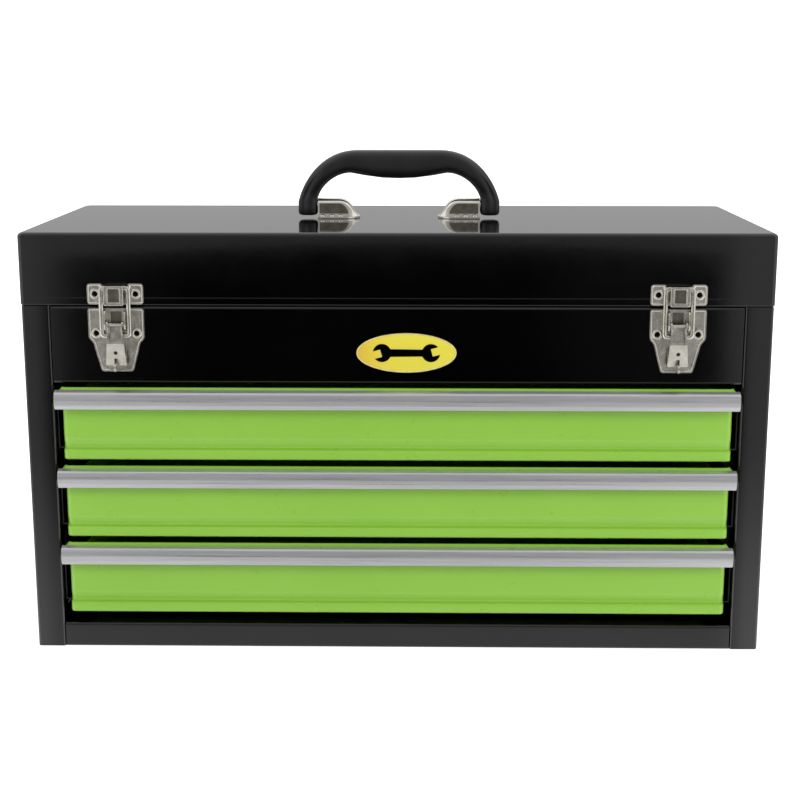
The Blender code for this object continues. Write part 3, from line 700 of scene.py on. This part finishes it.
class Sky(Tree):
    """Short ways to build a light that depends on the direction it comes from."""

    def __init__(self, tree):
        super().__init__(tree)
        split = self.add("SeparateXYZ", {"Vector": self.add("TexCoord", {}).outputs["Generated"]})
        self.across, self.deep, self.up = (split.outputs[axis] for axis in "XYZ")

    def math(self, operation, *values):
        node = self.add("Math", dict(enumerate(values)))
        node.operation = operation
        return node.outputs[0]

    def step(self, value, start, end, low=0.0, high=1.0):
        """A smooth change from low to high as the value goes from start to end."""
        inputs = {"Value": value, "From Min": start, "From Max": end, "To Min": low, "To Max": high}
        node = self.add("MapRange", inputs)
        node.interpolation_type = "SMOOTHSTEP"
        return node.outputs["Result"]


def world():
    """A white tent with a dark opening at the front. The opening's left edge is softer than its right."""
    studio = bpy.data.worlds.new("studio")
    bpy.context.scene.world = studio
    studio.use_nodes = True
    sky = Sky(studio.node_tree)
    left = sky.step(sky.across, -0.255, -0.215, 0.54, 0.0)
    far_left = sky.step(sky.across, -0.50, -0.28, 1.1, 0.0)
    left_haze = sky.step(sky.across, -0.24, -0.13, 0.05, 0.0)
    right = sky.step(sky.across, 0.185, 0.205, 0.0, 0.56)
    far_right = sky.step(sky.across, 0.26, 0.50, 0.0, 1.1)
    right_haze = sky.step(sky.across, 0.06, 0.12, 0.0, 0.04)
    arch = sky.math("MULTIPLY_ADD", sky.math("MULTIPLY", sky.across, sky.across), 0.12, sky.up)
    high = sky.step(arch, -0.1135, -0.1095, 0.0, 0.40)
    low = sky.step(sky.up, -0.36, -0.22, 0.74, 0.0)
    front = left
    for glow in (far_left, left_haze, right, far_right, right_haze, high):
        front = sky.math("MAXIMUM", front, glow)
    front = sky.math("ADD", front, low)
    back = sky.step(sky.deep, -0.1, 0.3)
    behind = sky.math("MULTIPLY", back, sky.step(sky.up, 0.2, 0.6, 0.46, 0.8))
    whole = sky.math("ADD", sky.math("MULTIPLY", front, sky.math("SUBTRACT", 1.0, back)), behind)
    overhead = sky.step(sky.up, 0.5, 0.85, 0.0, 0.45)
    background = sky.nodes["Background"]
    sky.links.new(sky.math("ADD", whole, overhead), background.inputs["Color"])
    background.inputs["Strength"].default_value = 1.0


def softbox(name, location, target, size, power):
    data = bpy.data.lights.new(name, "AREA")
    data.shape = "RECTANGLE"
    data.size, data.size_y = size
    data.energy = power
    lamp = bpy.data.objects.new(name, data)
    bpy.context.scene.collection.objects.link(lamp)
    lamp.location = location
    lamp.visible_glossy = False
    lamp.rotation_mode = "QUATERNION"
    lamp.rotation_quaternion = (Vector(target) - Vector(location)).to_track_quat("-Z", "Y")
    return lamp


def camera():
    """The viewpoint: in front, a little right of the middle and above, with a short telephoto lens."""
    data = bpy.data.cameras.new("camera")
    data.lens = 68.54
    data.sensor_width = 36.0
    thing = bpy.data.objects.new("camera", data)
    bpy.context.scene.collection.objects.link(thing)
    thing.location = (0.0182, -1.1491, 0.4094)
    thing.rotation_mode = "XYZ"
    pitch, turn = 0.2139, 0.0151
    thing.rotation_euler = (math.pi / 2 - pitch, 0.0, turn)
    bpy.context.scene.camera = thing


cyclorama()
backdrop()
world()
softbox("key", (-0.6, -1.6, 1.5), (0, 0, 0.15), (1.2, 0.8), 15)
softbox("fill", (1.3, -1.2, 0.8), (0, 0, 0.15), (0.8, 1.2), 8)
camera()
bpy.context.scene.view_settings.view_transform = "Standard"


# The cabinet.


def side_panel(name, side):
    """A side with its front post and return folded from one sheet, and a hem along the top."""
    low, high = corners(name)
    path = [
        (OPENING_X, FRONT_Y + SHEET + FLANGE),
        (OPENING_X, FRONT_Y),
        (SIDE_X, FRONT_Y),
        (SIDE_X, BACK_Y),
    ]
    outline = [(side * x, y) for x, y in folded(path, SHEET, FOLD)]
    hem_x = sorted((side * (SIDE_X - HEM_THICKNESS), side * (SIDE_X - SHEET / 2)))
    hem_low = (hem_x[0], FRONT_Y + SHEET + FLANGE, high.z - HEM_HEIGHT)
    hem_high = (hem_x[1], BACK_Y - FLANGE, high.z)
    mesh = prism(outline, "Z", low.z, high.z)
    show(f"{name}_sheet", mesh, name, joined=[box(hem_low, hem_high)], edges=0.3)


def back_panel():
    low, high = corners("back_panel")
    path = [
        (high.x, BACK_Y - FLANGE + SHEET),
        (high.x, BACK_Y),
        (low.x, BACK_Y),
        (low.x, BACK_Y - FLANGE + SHEET),
    ]
    mesh = prism(folded(path, SHEET, FOLD), "Z", low.z, high.z)
    show("back_panel_sheet", mesh, "back_panel", edges=0.25)


def upper_panel():
    low, high = corners("upper_front_panel")
    path = [(FRONT_Y + FLANGE, high.z), (FRONT_Y, high.z), (FRONT_Y, low.z), (FRONT_Y + FLANGE, low.z)]
    mesh = prism(folded(path, SHEET, 1.3, 8), "X", low.x, high.x)
    show("upper_front_panel_sheet", mesh, "upper_front_panel", edges=0.2)


def bottom_pan():
    """The floor and the rail under the drawers. The floor's own outline comes from the node above it."""
    low, high = corners("bottom_pan")
    rail_x = OPENING_X - GAP
    path = [(FRONT_Y + FLANGE, high.z), (FRONT_Y, high.z), (FRONT_Y, low.z), (FRONT_Y + FLANGE / 2, low.z)]
    rail = prism(folded(path, SHEET, FOLD), "X", -rail_x, rail_x)
    floor = bmesh.new()
    floor.from_mesh(frame["nodes"]["till_floor"].data)
    drop = Vector((0, 0, low.z - TILL_LOW.z)) * MM
    bmesh.ops.translate(floor, verts=floor.verts, vec=drop)
    show("bottom_pan_sheet", floor, "bottom_pan", joined=[rail], edges=0.2)


def drawer_front(number):
    """A folded front with rounded ends, a lip that leans out for the trim, and a proud lower edge."""
    name = f"drawer_front_{number}"
    low, high = corners(name)
    path = [(7.9, 46.6), (1.4, 51.8), (1.4, 14.6), (-0.7, 8.7), (3.0, 7.0), (3.0, 0.0), (-0.6, 0.0)]
    path = [(ahead(d), low.z + z) for d, z in path]
    outline = folded(path, SHEET, [0.5, 6.0, 1.5, 1.6, 0.9], 6)
    lip_y = ahead(FRONT_LIP)
    last = 6
    rings = []
    for side in (-1, 1):
        half = []
        for step in range(last + 1):
            angle = math.radians(90 * step / last)
            x = FRONT_X - FRONT_ROUND * (1 - math.sin(angle))
            back = FRONT_ROUND * (1 - math.cos(angle))
            ring = []
            for y, z in outline:
                lip = y < lip_y
                ring_x = high.x if lip and step == last else x
                ring.append(spot("X", side * ring_x, y if lip else y + back, z))
            half.append(ring)
        rings += half[::-1] if side < 0 else half
    returns = []
    for side in (-1, 1):
        edges = sorted((side * (FRONT_X - SHEET), side * FRONT_X))
        near = FRONT_Y - SHEET + FRONT_ROUND
        bottom, top = low.z + SHEET / 2, low.z + RETURN_TOP
        returns.append(box((edges[0], near, bottom), (edges[1], FRONT_Y + RETURN_DEPTH, top)))
    mesh = merge([skin(rings)] + returns)
    show(f"{name}_sheet", mesh, name, sharp=45)


def pull_trim(number):
    """The aluminium extrusion over the lip: a slightly bowed face with its lower edge turned in."""
    name = f"pull_trim_{number}"
    low, high = corners(name)
    height = 51.0
    face = [(5.8, height), (9.6, 49.0), (10.2, 44.5), (10.0, 40.2), (8.6, 37.5)]
    path = [(ahead(d), high.z - height + z) for d, z in face]
    mesh = prism(folded(path, TRIM_THICKNESS, [2.2, 14.0, 2.0], 8), "X", low.x, high.x)
    show(f"{name}_extrusion", mesh, name, edges=0.15, sharp=50)


def badge():
    """A domed oval plate with a raised rim and a plain spanner in the middle."""
    low, high = corners("badge")
    centre = (low + high) / 2
    half_x, half_z = (high.x - low.x) / 2, (high.z - low.z) / 2
    front, back = low.y, high.y

    def ellipse(y, inwards):
        ring = []
        for angle in turns(96):
            x = centre.x + (half_x - inwards) * math.cos(angle)
            ring.append(spot("Y", y, x, centre.z + (half_z - inwards) * math.sin(angle)))
        return ring

    face = [(back, 0.4), (front + 0.55, 0.4), (front + 0.42, 2.0), (front + 0.34, 5.0), (front + 0.3, 9.0)]
    show("badge_face", skin([ellipse(*point) for point in face]), "badge", sharp=60)
    rim = [(back, 0.0), (front + 0.3, 0.0), (front, 0.25), (front, 0.5), (front + 0.3, 0.85), (back, 0.85)]
    rings = list(zip(*[ellipse(*point) for point in rim]))
    add_on("badge_rim", skin(rings, closed=True), "badge", sharp=60, paint=RIM)
    spanner(centre, front + 0.22, front + 0.5)


def spanner(centre, front, back):
    """A double-ended spanner in outline, a common sign for a tool."""
    jaw_x, jaw_radius, mouth, mouth_start, tilt = 17.0, 6.4, 5.4, 0.6, 15

    def at(x, z):
        return (centre.x + x, centre.z + z)

    thing = prism([at(-jaw_x, -2.8), at(jaw_x, -2.4), at(jaw_x, 2.4), at(-jaw_x, 2.8)], "Y", front, back)
    jaws, mouths = [], []
    for side in (-1, 1):
        disc = arc(at(side * jaw_x, 0), jaw_radius, 0, 360, 40)[:-1]
        jaws.append(prism(disc, "Y", front, back))
        turn = Matrix.Rotation(math.radians(tilt if side > 0 else 180 + tilt), 2)
        half, reach = mouth / 2, jaw_radius + 2
        gap = [(mouth_start, -half), (reach, -half), (reach, half), (mouth_start, half)]
        jaw_centre = Vector(at(side * jaw_x, 0))
        outline = [jaw_centre + turn @ Vector(point) for point in gap]
        mouths.append(prism(outline, "Y", front - 1, back + 1))
    add_on("badge_spanner", thing, "badge", joined=jaws, cut=mouths, edges=0.06, paint=BLACK)


# The slides, the lid, its hinge and its stay.


def slide(number, side_name):
    """One slide's three members, and the balls in its cage."""
    side = SIDES[side_name]
    suffix = f"{number}_{side_name}"
    refine(f"cabinet_slide_{suffix}", edges=0.4, segments=3)
    refine(f"drawer_slide_{suffix}", edges=0.4, segments=3)
    refine(f"ball_cage_{suffix}", edges=0.25)
    low, high = corners(f"ball_cage_{suffix}")
    middle_z = middle(f"ball_cage_{suffix}")[2]
    balls = bmesh.new()
    for height in (-BALL_HEIGHT, BALL_HEIGHT):
        for index in range(BALL_COUNT):
            y = low.y + (high.y - low.y) * (index + 0.5) / BALL_COUNT
            place = Matrix.Translation(Vector((side * BALL_X, y, middle_z + height)) * MM)
            bmesh.ops.create_icosphere(balls, subdivisions=3, radius=BALL_RADIUS * MM, matrix=place)
    add_on(f"slide_balls_{suffix}", balls, f"ball_cage_{suffix}", paint=NICKEL, sharp=80)


def lid():
    """The drawn cover, one skin from its ceiling down inside, round the hem and up to its top."""
    low, high = LID_LOW, LID_HIGH
    inner_radius = LID_RADIUS - SHEET
    bend = high.z - LID_RADIUS
    crown, shoulder, groove_depth = 60.0, 14.0, 0.04
    profile = [(crown, high.z - SHEET)]
    for angle in range(90, -1, -15):
        turn = math.radians(angle)
        profile.append((LID_RADIUS - inner_radius * math.cos(turn), bend + inner_radius * math.sin(turn)))
    hem = HEM_THICKNESS / 2
    profile += [(SHEET, low.z + HEM_HEIGHT), (HEM_THICKNESS, low.z + HEM_HEIGHT - 0.8)]
    profile += [(hem + x, low.z + hem + z) for x, z in arc((0, 0), hem, 0, -180, 8)]
    for depth, rise in ((0.0, -0.5), (groove_depth, -0.15), (groove_depth, 0.15), (0.0, 0.5)):
        profile.append((depth, low.z + LID_GROOVE + rise))
    for angle in range(0, 91, 6):
        turn = math.radians(angle)
        profile.append((LID_RADIUS * (1 - math.cos(turn)), bend + LID_RADIUS * math.sin(turn)))
    profile += [(shoulder, high.z), (crown, high.z)]
    rings = []
    for inwards, z in profile:
        corner = LID_CORNER + min(inwards, LID_RADIUS) / 2
        outline = rounded((low.x + inwards, low.y + inwards), (high.x - inwards, high.y - inwards), corner, 8)
        rings.append([spot("Z", z, x, y) for x, y in outline])
    show("lid_cover", skin(rings), "lid_shell", sharp=50)


def rivet_head(axis, along, out, centre, radius, height):
    """A rivet's low domed head, which stands out along an axis from a short upright brim."""
    brim = 0.35
    profile = [(along, radius * 0.98), (along + out * height * brim, radius)]
    for angle in range(15, 90, 15):
        turn = math.radians(angle)
        rise = height * (brim + (1 - brim) * math.sin(turn))
        profile.append((along + out * rise, radius * math.cos(turn)))
    return turned(profile, axis, centre, 24)


def hinge():
    """The piano hinge, with a row of rivets in each leaf."""
    for name, z_share in (("hinge_leaf_cabinet", 0.36), ("hinge_leaf_lid", 0.64)):
        refine(name, edges=0.2)
        low, high = corners(name)
        row_z = low.z + (high.z - low.z) * z_share
        heads = []
        for index in range(HINGE_RIVETS):
            x = low.x + (high.x - low.x) * (index + 0.5) / HINGE_RIVETS
            heads.append(rivet_head("Y", HINGE_FACE, 1, (x, row_z), 2.6, 1.3))
        add_on(f"{name}_rivets", merge(heads), name, sharp=60)
    refine("hinge_pin", edges=0.3)


def lid_stay():
    refine("lid_stay_arm", edges=0.2)
    for name in ("stay_pivot", "stay_stud"):
        refine(name, edges=0.25)
        face_x = corners(name)[1].x - 0.1
        head = rivet_head("X", face_x, 1, middle(name)[1:], 2.9, 0.9)
        add_on(f"{name}_head", head, name, sharp=60)


# The latches. Here d is measured outwards from the cabinet's front, and across from a latch's middle.


def eyelet(centre, base, segments=28):
    """A tubular rivet's rolled rim around its open middle, on a plate's face."""
    profile = [(-0.6, 1.8), (0.7, 1.85), (1.2, 2.15), (1.4, 2.7)]
    profile += [(1.25, 3.3), (0.75, 3.75), (0.0, 3.9), (-0.1, 3.9)]
    rings = []
    for angle in turns(segments):
        ring = []
        for d, radius in profile:
            x = centre[0] + radius * math.cos(angle)
            z = centre[1] + radius * math.sin(angle)
            ring.append(spot("Y", ahead(base + d), x, z))
        rings.append(ring)
    return skin(rings, closed=True)


def eyelet_hole(centre):
    return prism(arc(centre, EYELET_HOLE, 0, 360, 24)[:-1], "Y", ahead(CUT_D), ahead(0))


def mirrored(half):
    """A closed outline from its right half, listed from top to bottom."""
    return half + [(-across, up) for across, up in half[::-1]]


def inset(outline, distance):
    """A closed outline moved inwards by a distance."""
    outline = [Vector(point) for point in outline]
    area = sum(a.x * b.y - b.x * a.y for a, b in zip(outline, outline[1:] + outline[:1]))
    sign = 1 if area > 0 else -1
    points = []
    for index, point in enumerate(outline):
        before = (point - outline[index - 1]).normalized()
        after = (outline[(index + 1) % len(outline)] - point).normalized()
        normal = Vector((-before.y - after.y, before.x + after.x)) * sign
        normal.normalize()
        lean = max(0.35, normal.dot(Vector((-before.y, before.x)) * sign))
        points.append(point + normal * (distance / lean))
    return points


def plate(x, outline, outer, inner):
    """A flat piece that faces forwards, its outline around x, from an outer depth to an inner one."""
    return prism([(x + point[0], point[1]) for point in outline], "Y", ahead(outer), ahead(inner))


def cheeks(x, half_width, outline):
    """Two upright plates with a (y, z) outline, whose outer faces stand a half width to each side of x."""
    edges = (-half_width, half_width - LATCH_SHEET)
    return [prism(outline, "X", x + edge, x + edge + LATCH_SHEET) for edge in edges]


def bead(x, outline):
    """The rounded rim that runs inside a plate's outline."""
    rings = []
    for share in range(7):
        turn = math.pi * share / 6
        y = ahead(RIM_BASE + RIM_HEIGHT * math.sin(turn))
        ring = inset(outline, RIM_WIDTH / 2 * (1 - math.cos(turn)))
        rings.append([spot("Y", y, x + across, up) for across, up in ring])
    return skin(rings, closed=True)


def latch_keeper(side_name):
    """The lid's plate: two rimmed ears with eyelets, and a hook whose face is pressed in."""
    name = f"latch_keeper_{side_name}"
    low, high = corners(name)
    x = middle(name)[0]
    ear_inner, ear_outer = 8.8, (high.x - low.x) / 2
    half = [(ear_inner, high.z - 2.2), (ear_inner + 0.5, high.z), (ear_outer, high.z), (ear_outer, low.z)]
    mesh = plate(x, soften(mirrored(half), 2.6, 5), PLATE_D, GAP)
    pockets, eyelets, beads = [], [], []
    for side in (-1, 1):
        ear = [(ear_inner - 0.1, low.z), (ear_outer, low.z), (ear_outer, high.z), (ear_inner + 0.4, high.z)]
        ear = soften([(side * across, z) for across, z in ear], 2.4, 5)
        beads.append(bead(x, ear))
        pockets.append(plate(x, inset(ear, RIM_WIDTH / 2), CUT_D, RIM_BASE - 0.05))
        centre = (x + side * EYELET_X, low.z + 7.4)
        pockets.append(eyelet_hole(centre))
        eyelets.append(eyelet(centre, RIM_BASE))
    show(f"{name}_plate", mesh, name, cut=pockets, edges=0.42, segments=3, sharp=45)
    add_on(f"{name}_eyelets", merge(eyelets), name, sharp=70)
    # The rims are in lighter nickel: a painted highlight along the ears' edges.
    add_on(f"{name}_rims", merge(beads), name, paint=HIGHLIGHT_NICKEL, sharp=70)
    hook_x, hook_back, hook_front = 6.9, 7.2, 9.0
    pocket = soften(rectangle(WINDOW_X, low.z + 2.0, low.z + 12.0), 0.8, 3)
    hook = plate(x, soften(rectangle(hook_x, low.z, low.z + 13.7), 1.4, 4), hook_front, hook_back)
    root_low = (x - hook_x, ahead(hook_back + 0.6), low.z + 8.8)
    root = box(root_low, (x + hook_x, ahead(LATCH_SHEET), low.z + 10.3))
    cut = plate(x, pocket, hook_front + 1, hook_front - 1.1)
    add_on(f"{name}_hook", hook, name, joined=[root], cut=[cut], edges=0.5, segments=3, sharp=45)
    # A thin dark nickel sheet on the floor of the hook's pressed face: painted shade.
    recess = plate(x, inset(pocket, 0.5), hook_front - 0.95, hook_front - 1.2)
    add_on(f"{name}_hook_recess", recess, name, paint=SHADE_NICKEL)


def latch_base(side_name):
    """The cabinet's plate: a raised rim, eyelets, two walls for the lever's pin, and a staple."""
    name = f"latch_base_{side_name}"
    low, high = corners(name)
    x = middle(name)[0]
    top, foot = high.z, low.z
    floor_d = 0.7
    half = [(19.4, top), (19.4, top - 21), (16.3, top - 24.2), (11.0, foot)]
    outline = soften(mirrored(half), 1.8, 5)
    mesh = plate(x, outline, PLATE_D, GAP)
    pocket = plate(x, inset(outline, RIM_WIDTH / 2), CUT_D, RIM_BASE + 0.05)
    # The rim is in lighter nickel: a painted highlight around the plate's edge.
    add_on(f"{name}_rim", bead(x, outline), name, paint=HIGHLIGHT_NICKEL, sharp=70)
    thing = show(f"{name}_plate", mesh, name, cut=[pocket], sharp=45)
    channel = [(7.6, top - 0.5), (7.6, top - 18), (6.2, top - 24), (6.2, foot + 2)]
    combine(thing, [plate(x, soften(mirrored(channel), 0.8, 3), 2.0, floor_d)], "UNION")
    window = rectangle(WINDOW_X, top - 11.4, top - 1.8)
    holes = [plate(x, soften(window, 0.8, 3), CUT_D, floor_d)]
    eyelets = []
    for side in (-1, 1):
        centre = (x + side * EYELET_X, top - 17.5)
        holes.append(eyelet_hole(centre))
        eyelets.append(eyelet(centre, RIM_BASE + 0.05))
    combine(thing, holes, "DIFFERENCE")
    wall = [(1.2, top - 0.6), (4.4, top - 0.6), (6.4, top - 2.2), (7.4, top - 5.5), (7.6, top - 11)]
    wall += [(6.6, top - 14.2), (4.6, top - 15.6), (1.2, top - 16.2)]
    wall = soften([(ahead(d), z) for d, z in wall], 1.2, 3)
    combine(thing, cheeks(x, 7.6, wall), "UNION")
    pivot = (ahead(LEVER_D), LEVER_Z)
    combine(thing, [bore("X", x - 9, x + 9, LEVER_BORE, pivot)], "DIFFERENCE")
    eye, staple_x = (ahead(9.4), foot + 4.15), 0.8
    staple = [(ahead(1.0), foot + 0.95)] + arc(eye, 3.2, 270, 90, 10) + [(ahead(1.0), foot + 7.35)]
    combine(thing, [prism(staple, "X", x - staple_x, x + staple_x)], "UNION")
    combine(thing, [bore("X", x - 2, x + 2, 2.0, eye)], "DIFFERENCE")
    ease_edges(thing, 0.4, 3)
    smooth(thing, 45)
    add_on(f"{name}_eyelets", merge(eyelets), name, sharp=70)
    # A thin dark nickel sheet on the floor of the window: painted shade.
    recess = plate(x, soften(inset(window, 0.5), 0.5, 3), floor_d + 0.15, floor_d - 0.1)
    add_on(f"{name}_recess", recess, name, paint=SHADE_NICKEL)


def lever_width(z, top):
    """The share of its plain width that the lever has at a height: it is drawn in at a waist."""
    waist = math.exp(-(((z - (top - 7.5)) / 3.2) ** 2))
    return 1 - 0.2 * waist


def latch_lever(side_name):
    """The lever: side cheeks around the pin, a web between them, and a plate that flares to a forked end."""
    name = f"latch_lever_{side_name}"
    top = corners(name)[1].z
    x = middle(name)[0]
    cheek = list(arc((LEVER_D, LEVER_Z), 3.0, 0, 180, 10))
    cheek += [(2.1, 234.0), (2.2, 229.0), (2.6, 224.0), (4.4, 219.0), (5.0, 216.0), (6.2, 216.0)]
    cheek += [(6.9, 219.0), (7.3, 222.0), (7.5, 226.0), (7.5, 230.0), (7.8, 234.0)]
    web_x, web_sheet, web_bend = 5.0, 1.1, 0.6
    web = [(ahead(d), z) for d, z in [(5.4, 216.5), (4.6, 219.5), (3.0, 225.0), (3.0, 236.2)]]
    mesh = prism(folded(web, web_sheet, web_bend, 4), "X", x - web_x, x + web_x)
    flare = soften([(-5.9, TAB_TOP), (-7.2, 208.6), (7.2, 208.6), (5.9, TAB_TOP)], 1.0, 4)
    tab = plate(x, flare, 8.1, 6.9)
    for vertex in tab.verts:
        vertex.co.y += TAB_LEAN * (TAB_TOP * MM - vertex.co.z)
    pivot, bail_pivot = (ahead(LEVER_D), LEVER_Z), (ahead(BAIL_D), BAIL_Z)
    past, within = 9.0, 4.4
    slit_x, slit_foot, slit_top, hole_z, front, back = 1.25, 206, 213.6, 217.6, ahead(9), ahead(3)
    cut = [
        bore("X", x - past, x + past, LEVER_BORE, pivot),
        bore("X", x - past, x - within, BAIL_BORE, bail_pivot),
        bore("X", x + within, x + past, BAIL_BORE, bail_pivot),
        bore("Y", front, back, 1.35, (x, hole_z)),
        box((x - slit_x, front, slit_foot), (x + slit_x, back, slit_top)),
    ]
    joined = cheeks(x, 6.0, [(ahead(d), z) for d, z in cheek]) + [tab]
    thing = show(f"{name}_stamping", mesh, name, joined=joined, cut=cut, edges=0.3, segments=3, sharp=45)
    waist_foot = 224
    for vertex in thing.data.vertices:
        z = vertex.co.z / MM
        if z > waist_foot:
            vertex.co.x = x * MM + (vertex.co.x - x * MM) * lever_width(z, top)


def latch_bail(side_name):
    """The loop of flattened wire that pulls the hook down, with its ends turned into the lever."""
    name = f"latch_bail_{side_name}"
    top = corners(name)[1].z - WIRE_RADIUS
    x = middle(name)[0]
    y = ahead(BAIL_D)
    half_across, half_deep, end_x, power = 1.55, 1.25, 5.0, 0.75
    right = [(BAIL_X, top), (BAIL_X, BAIL_Z), (end_x, BAIL_Z)]
    path = [Vector((-across, up)) for across, up in right[::-1]] + [Vector(point) for point in right]
    centre_line = [path[0]]
    for before, here, after in zip(path, path[1:], path[2:]):
        centre_line += round_corner(before, here, after, WIRE_BEND, 8)
    centre_line.append(path[-1])
    rings = []
    for index, point in enumerate(centre_line):
        along = centre_line[min(index + 1, len(centre_line) - 1)] - centre_line[max(index - 1, 0)]
        along.normalize()
        across = Vector((-along.y, along.x))
        ring = []
        for angle in turns(20):
            place = point + across * (half_across * squarish(math.cos(angle), power))
            deep = half_deep * squarish(math.sin(angle), power)
            ring.append(Vector((x + place.x, y + deep, place.y)) * MM)
        rings.append(ring)
    show(f"{name}_wire", skin(rings), name, sharp=60)


# The handle.


def handle_half():
    """Matching points along the outside and the inside of half of the handle, from a foot to the middle."""
    low, high = corners("handle_grip")
    foot, top = low.z, high.z
    outside = [(73.2, foot), (74.8, foot + 0.5), (75.7, foot + 2.2), (75.7, foot + 6)]
    outside += bezier((75.7, foot + 10), (71.5, foot + 27), (57.0, top), (31.0, top), 22)
    outside += [(23.0, top), (12.0, top), (0.0, top)]
    inner_top = foot + 31.5
    inside = [(63.8, foot), (62.0, foot + 0.5), (61.1, foot + 2.2), (61.1, foot + 6)]
    inside += bezier((61.1, foot + 12.5), (58.4, foot + 22.5), (47.0, inner_top), (36.0, inner_top), 22)
    inside += [(25.0, inner_top - 2), (12.0, inner_top - 3.7), (0.0, inner_top - 4.1)]
    return list(zip(outside, inside))


def handle_grip():
    """The moulded grip. A ridge runs along its legs' outer edge, set off by a shallow valley."""
    name = "handle_grip"
    low, high = corners(name)
    middle_y = middle(name)[1]
    half_depth = (high.y - low.y) / 2
    toe, toe_height = 0.78, 2.2
    valley_at, valley_width, valley_depth = 0.36, 0.16, 0.16
    power = 0.65
    half = handle_half()
    stations = [(1, outer, inner) for outer, inner in half]
    stations += [(-1, outer, inner) for outer, inner in half[-2::-1]]
    rings = []
    for side, outer, inner in stations:
        outer = Vector((side * outer[0], outer[1]))
        inner = Vector((side * inner[0], inner[1]))
        centre = (outer + inner) / 2
        rise = min(1.0, max(0.0, (centre.y - GRIP_START) / GRIP_BLEND))
        depth = LEG_DEPTH + (half_depth - LEG_DEPTH) * rise
        foot = min(1.0, toe + (1 - toe) * (centre.y - low.z) / toe_height)
        ring = []
        for angle in turns(48, 0.5):
            across = squarish(math.cos(angle), power)
            deep = squarish(math.sin(angle), power)
            valley = valley_depth * (1 - rise) * math.exp(-(((across - valley_at) / valley_width) ** 2))
            point = centre + (outer - inner) / 2 * across
            ring.append(spot("Y", middle_y + depth * foot * deep * (1 - valley), point.x, point.y))
        rings.append(ring)
    pin_end = corners("handle_pin_right")[1].x + 0.3
    bore_start, bore_radius = 60.0, 3.6
    pin_centre = middle("handle_pin_right")[1:]
    holes = []
    for side in (-1, 1):
        ends = sorted((side * pin_end, side * bore_start))
        holes.append(bore("X", *ends, bore_radius, pin_centre))
    show(f"{name}_moulding", skin(rings), name, cut=holes, sharp=60)


def handle_bracket(side_name):
    """A stamped saddle over the handle's pin. Its inner end is drawn down to a point."""
    name = f"handle_bracket_{side_name}"
    side = SIDES[side_name]
    low, high = corners(name)
    floor, middle_y = low.z, middle(name)[1]
    inner_x, outer_x = sorted((abs(low.x), abs(high.x)))
    radius, wall_height, sheet, flange_y = 3.85, 9.2, 1.2, 13
    rings = []
    # Each station has its x and the shares of the full height and width that the saddle has there.
    for x, rise, reach in (
        (outer_x, 1.0, 1.0), (outer_x - 0.3, 1.0, 1.0), (44.5, 1.0, 1.0), (42.5, 0.985, 1.0),
        (40.5, 0.94, 1.0), (38.8, 0.87, 0.99), (37.4, 0.78, 0.97), (36.0, 0.66, 0.94), (34.8, 0.53, 0.90),
        (33.6, 0.38, 0.84), (32.4, 0.23, 0.74), (31.0, 0.11, 0.58), (inner_x, 0.04, 0.34),
    ):
        wall_y = (radius + sheet) * reach
        path = [(middle_y - flange_y * reach, floor), (middle_y - wall_y, floor)]
        for angle in range(180, -1, -15):
            turn = math.radians(angle)
            arch_z = (wall_height + radius * math.sin(turn)) * rise
            path.append((middle_y + radius * math.cos(turn) * (0.35 + 0.65 * reach), floor + arch_z))
        path += [(middle_y + wall_y, floor), (middle_y + flange_y * reach, floor)]
        rings.append([spot("X", side * x, y, z) for y, z in sheet_line(path, sheet)])
    # The saddle is in lighter nickel: a painted highlight around its dark panels.
    show(f"{name}_stamping", skin(rings), name, edges=0.18, sharp=50, paint=HIGHLIGHT_NICKEL)
    # Thin dark nickel panels on the saddle's walls: a painted reflection of the dark surroundings, inside the
    # lighter border.
    panel_inner, panel_outer, panel_lean, lean_z = radius + 1.0, radius + 2.05, 0.15, 4.6
    face = [(42.5, 3.0), (outer_x - 1.2, 3.0), (outer_x - 1.2, 10.6), (43.5, 10.6)]
    face += [(40.4, 8.6), (38.4, 5.4), (37.6, 3.0)]
    face = soften([(side * x, floor + z) for x, z in face], 1.2, 4)
    panels, heads = [], []
    for row in (-1, 1):
        near, far = sorted((middle_y + row * panel_outer, middle_y + row * panel_inner))
        panel = prism(face, "Y", near, far)
        for vertex in panel.verts:
            vertex.co.y -= row * panel_lean * (vertex.co.z - (floor + lean_z) * MM)
        panels.append(panel)
        for x in (57.0, 50.0, 43.5):
            centre = (side * x, middle_y + row * 9.4)
            heads.append(rivet_head("Z", floor + sheet, 1, centre, 2.2, 1.7))
    add_on(f"{name}_panels", merge(panels), name, paint=SHADE_NICKEL, edges=0.15)
    add_on(f"{name}_rivets", merge(heads), name, sharp=60)


for side_name, side_sign in SIDES.items():
    side_panel(f"side_panel_{side_name}", side_sign)
    refine(f"slide_upright_{side_name}", edges=0.25)
    latch_keeper(side_name)
    latch_base(side_name)
    rod(f"latch_pin_{side_name}", 0.2, 0.5, 24)
    latch_lever(side_name)
    latch_bail(side_name)
    handle_bracket(side_name)
    rod(f"handle_pin_{side_name}", 0.6, 0.6, 32)
back_panel()
upper_panel()
bottom_pan()
refine("till_floor", edges=0.2)
badge()
for drawer in DRAWERS:
    drawer_front(drawer)
    pull_trim(drawer)
    refine(f"drawer_tray_{drawer}", edges=0.3)
    for side_name in SIDES:
        slide(drawer, side_name)
lid()
hinge()
lid_stay()
handle_grip()
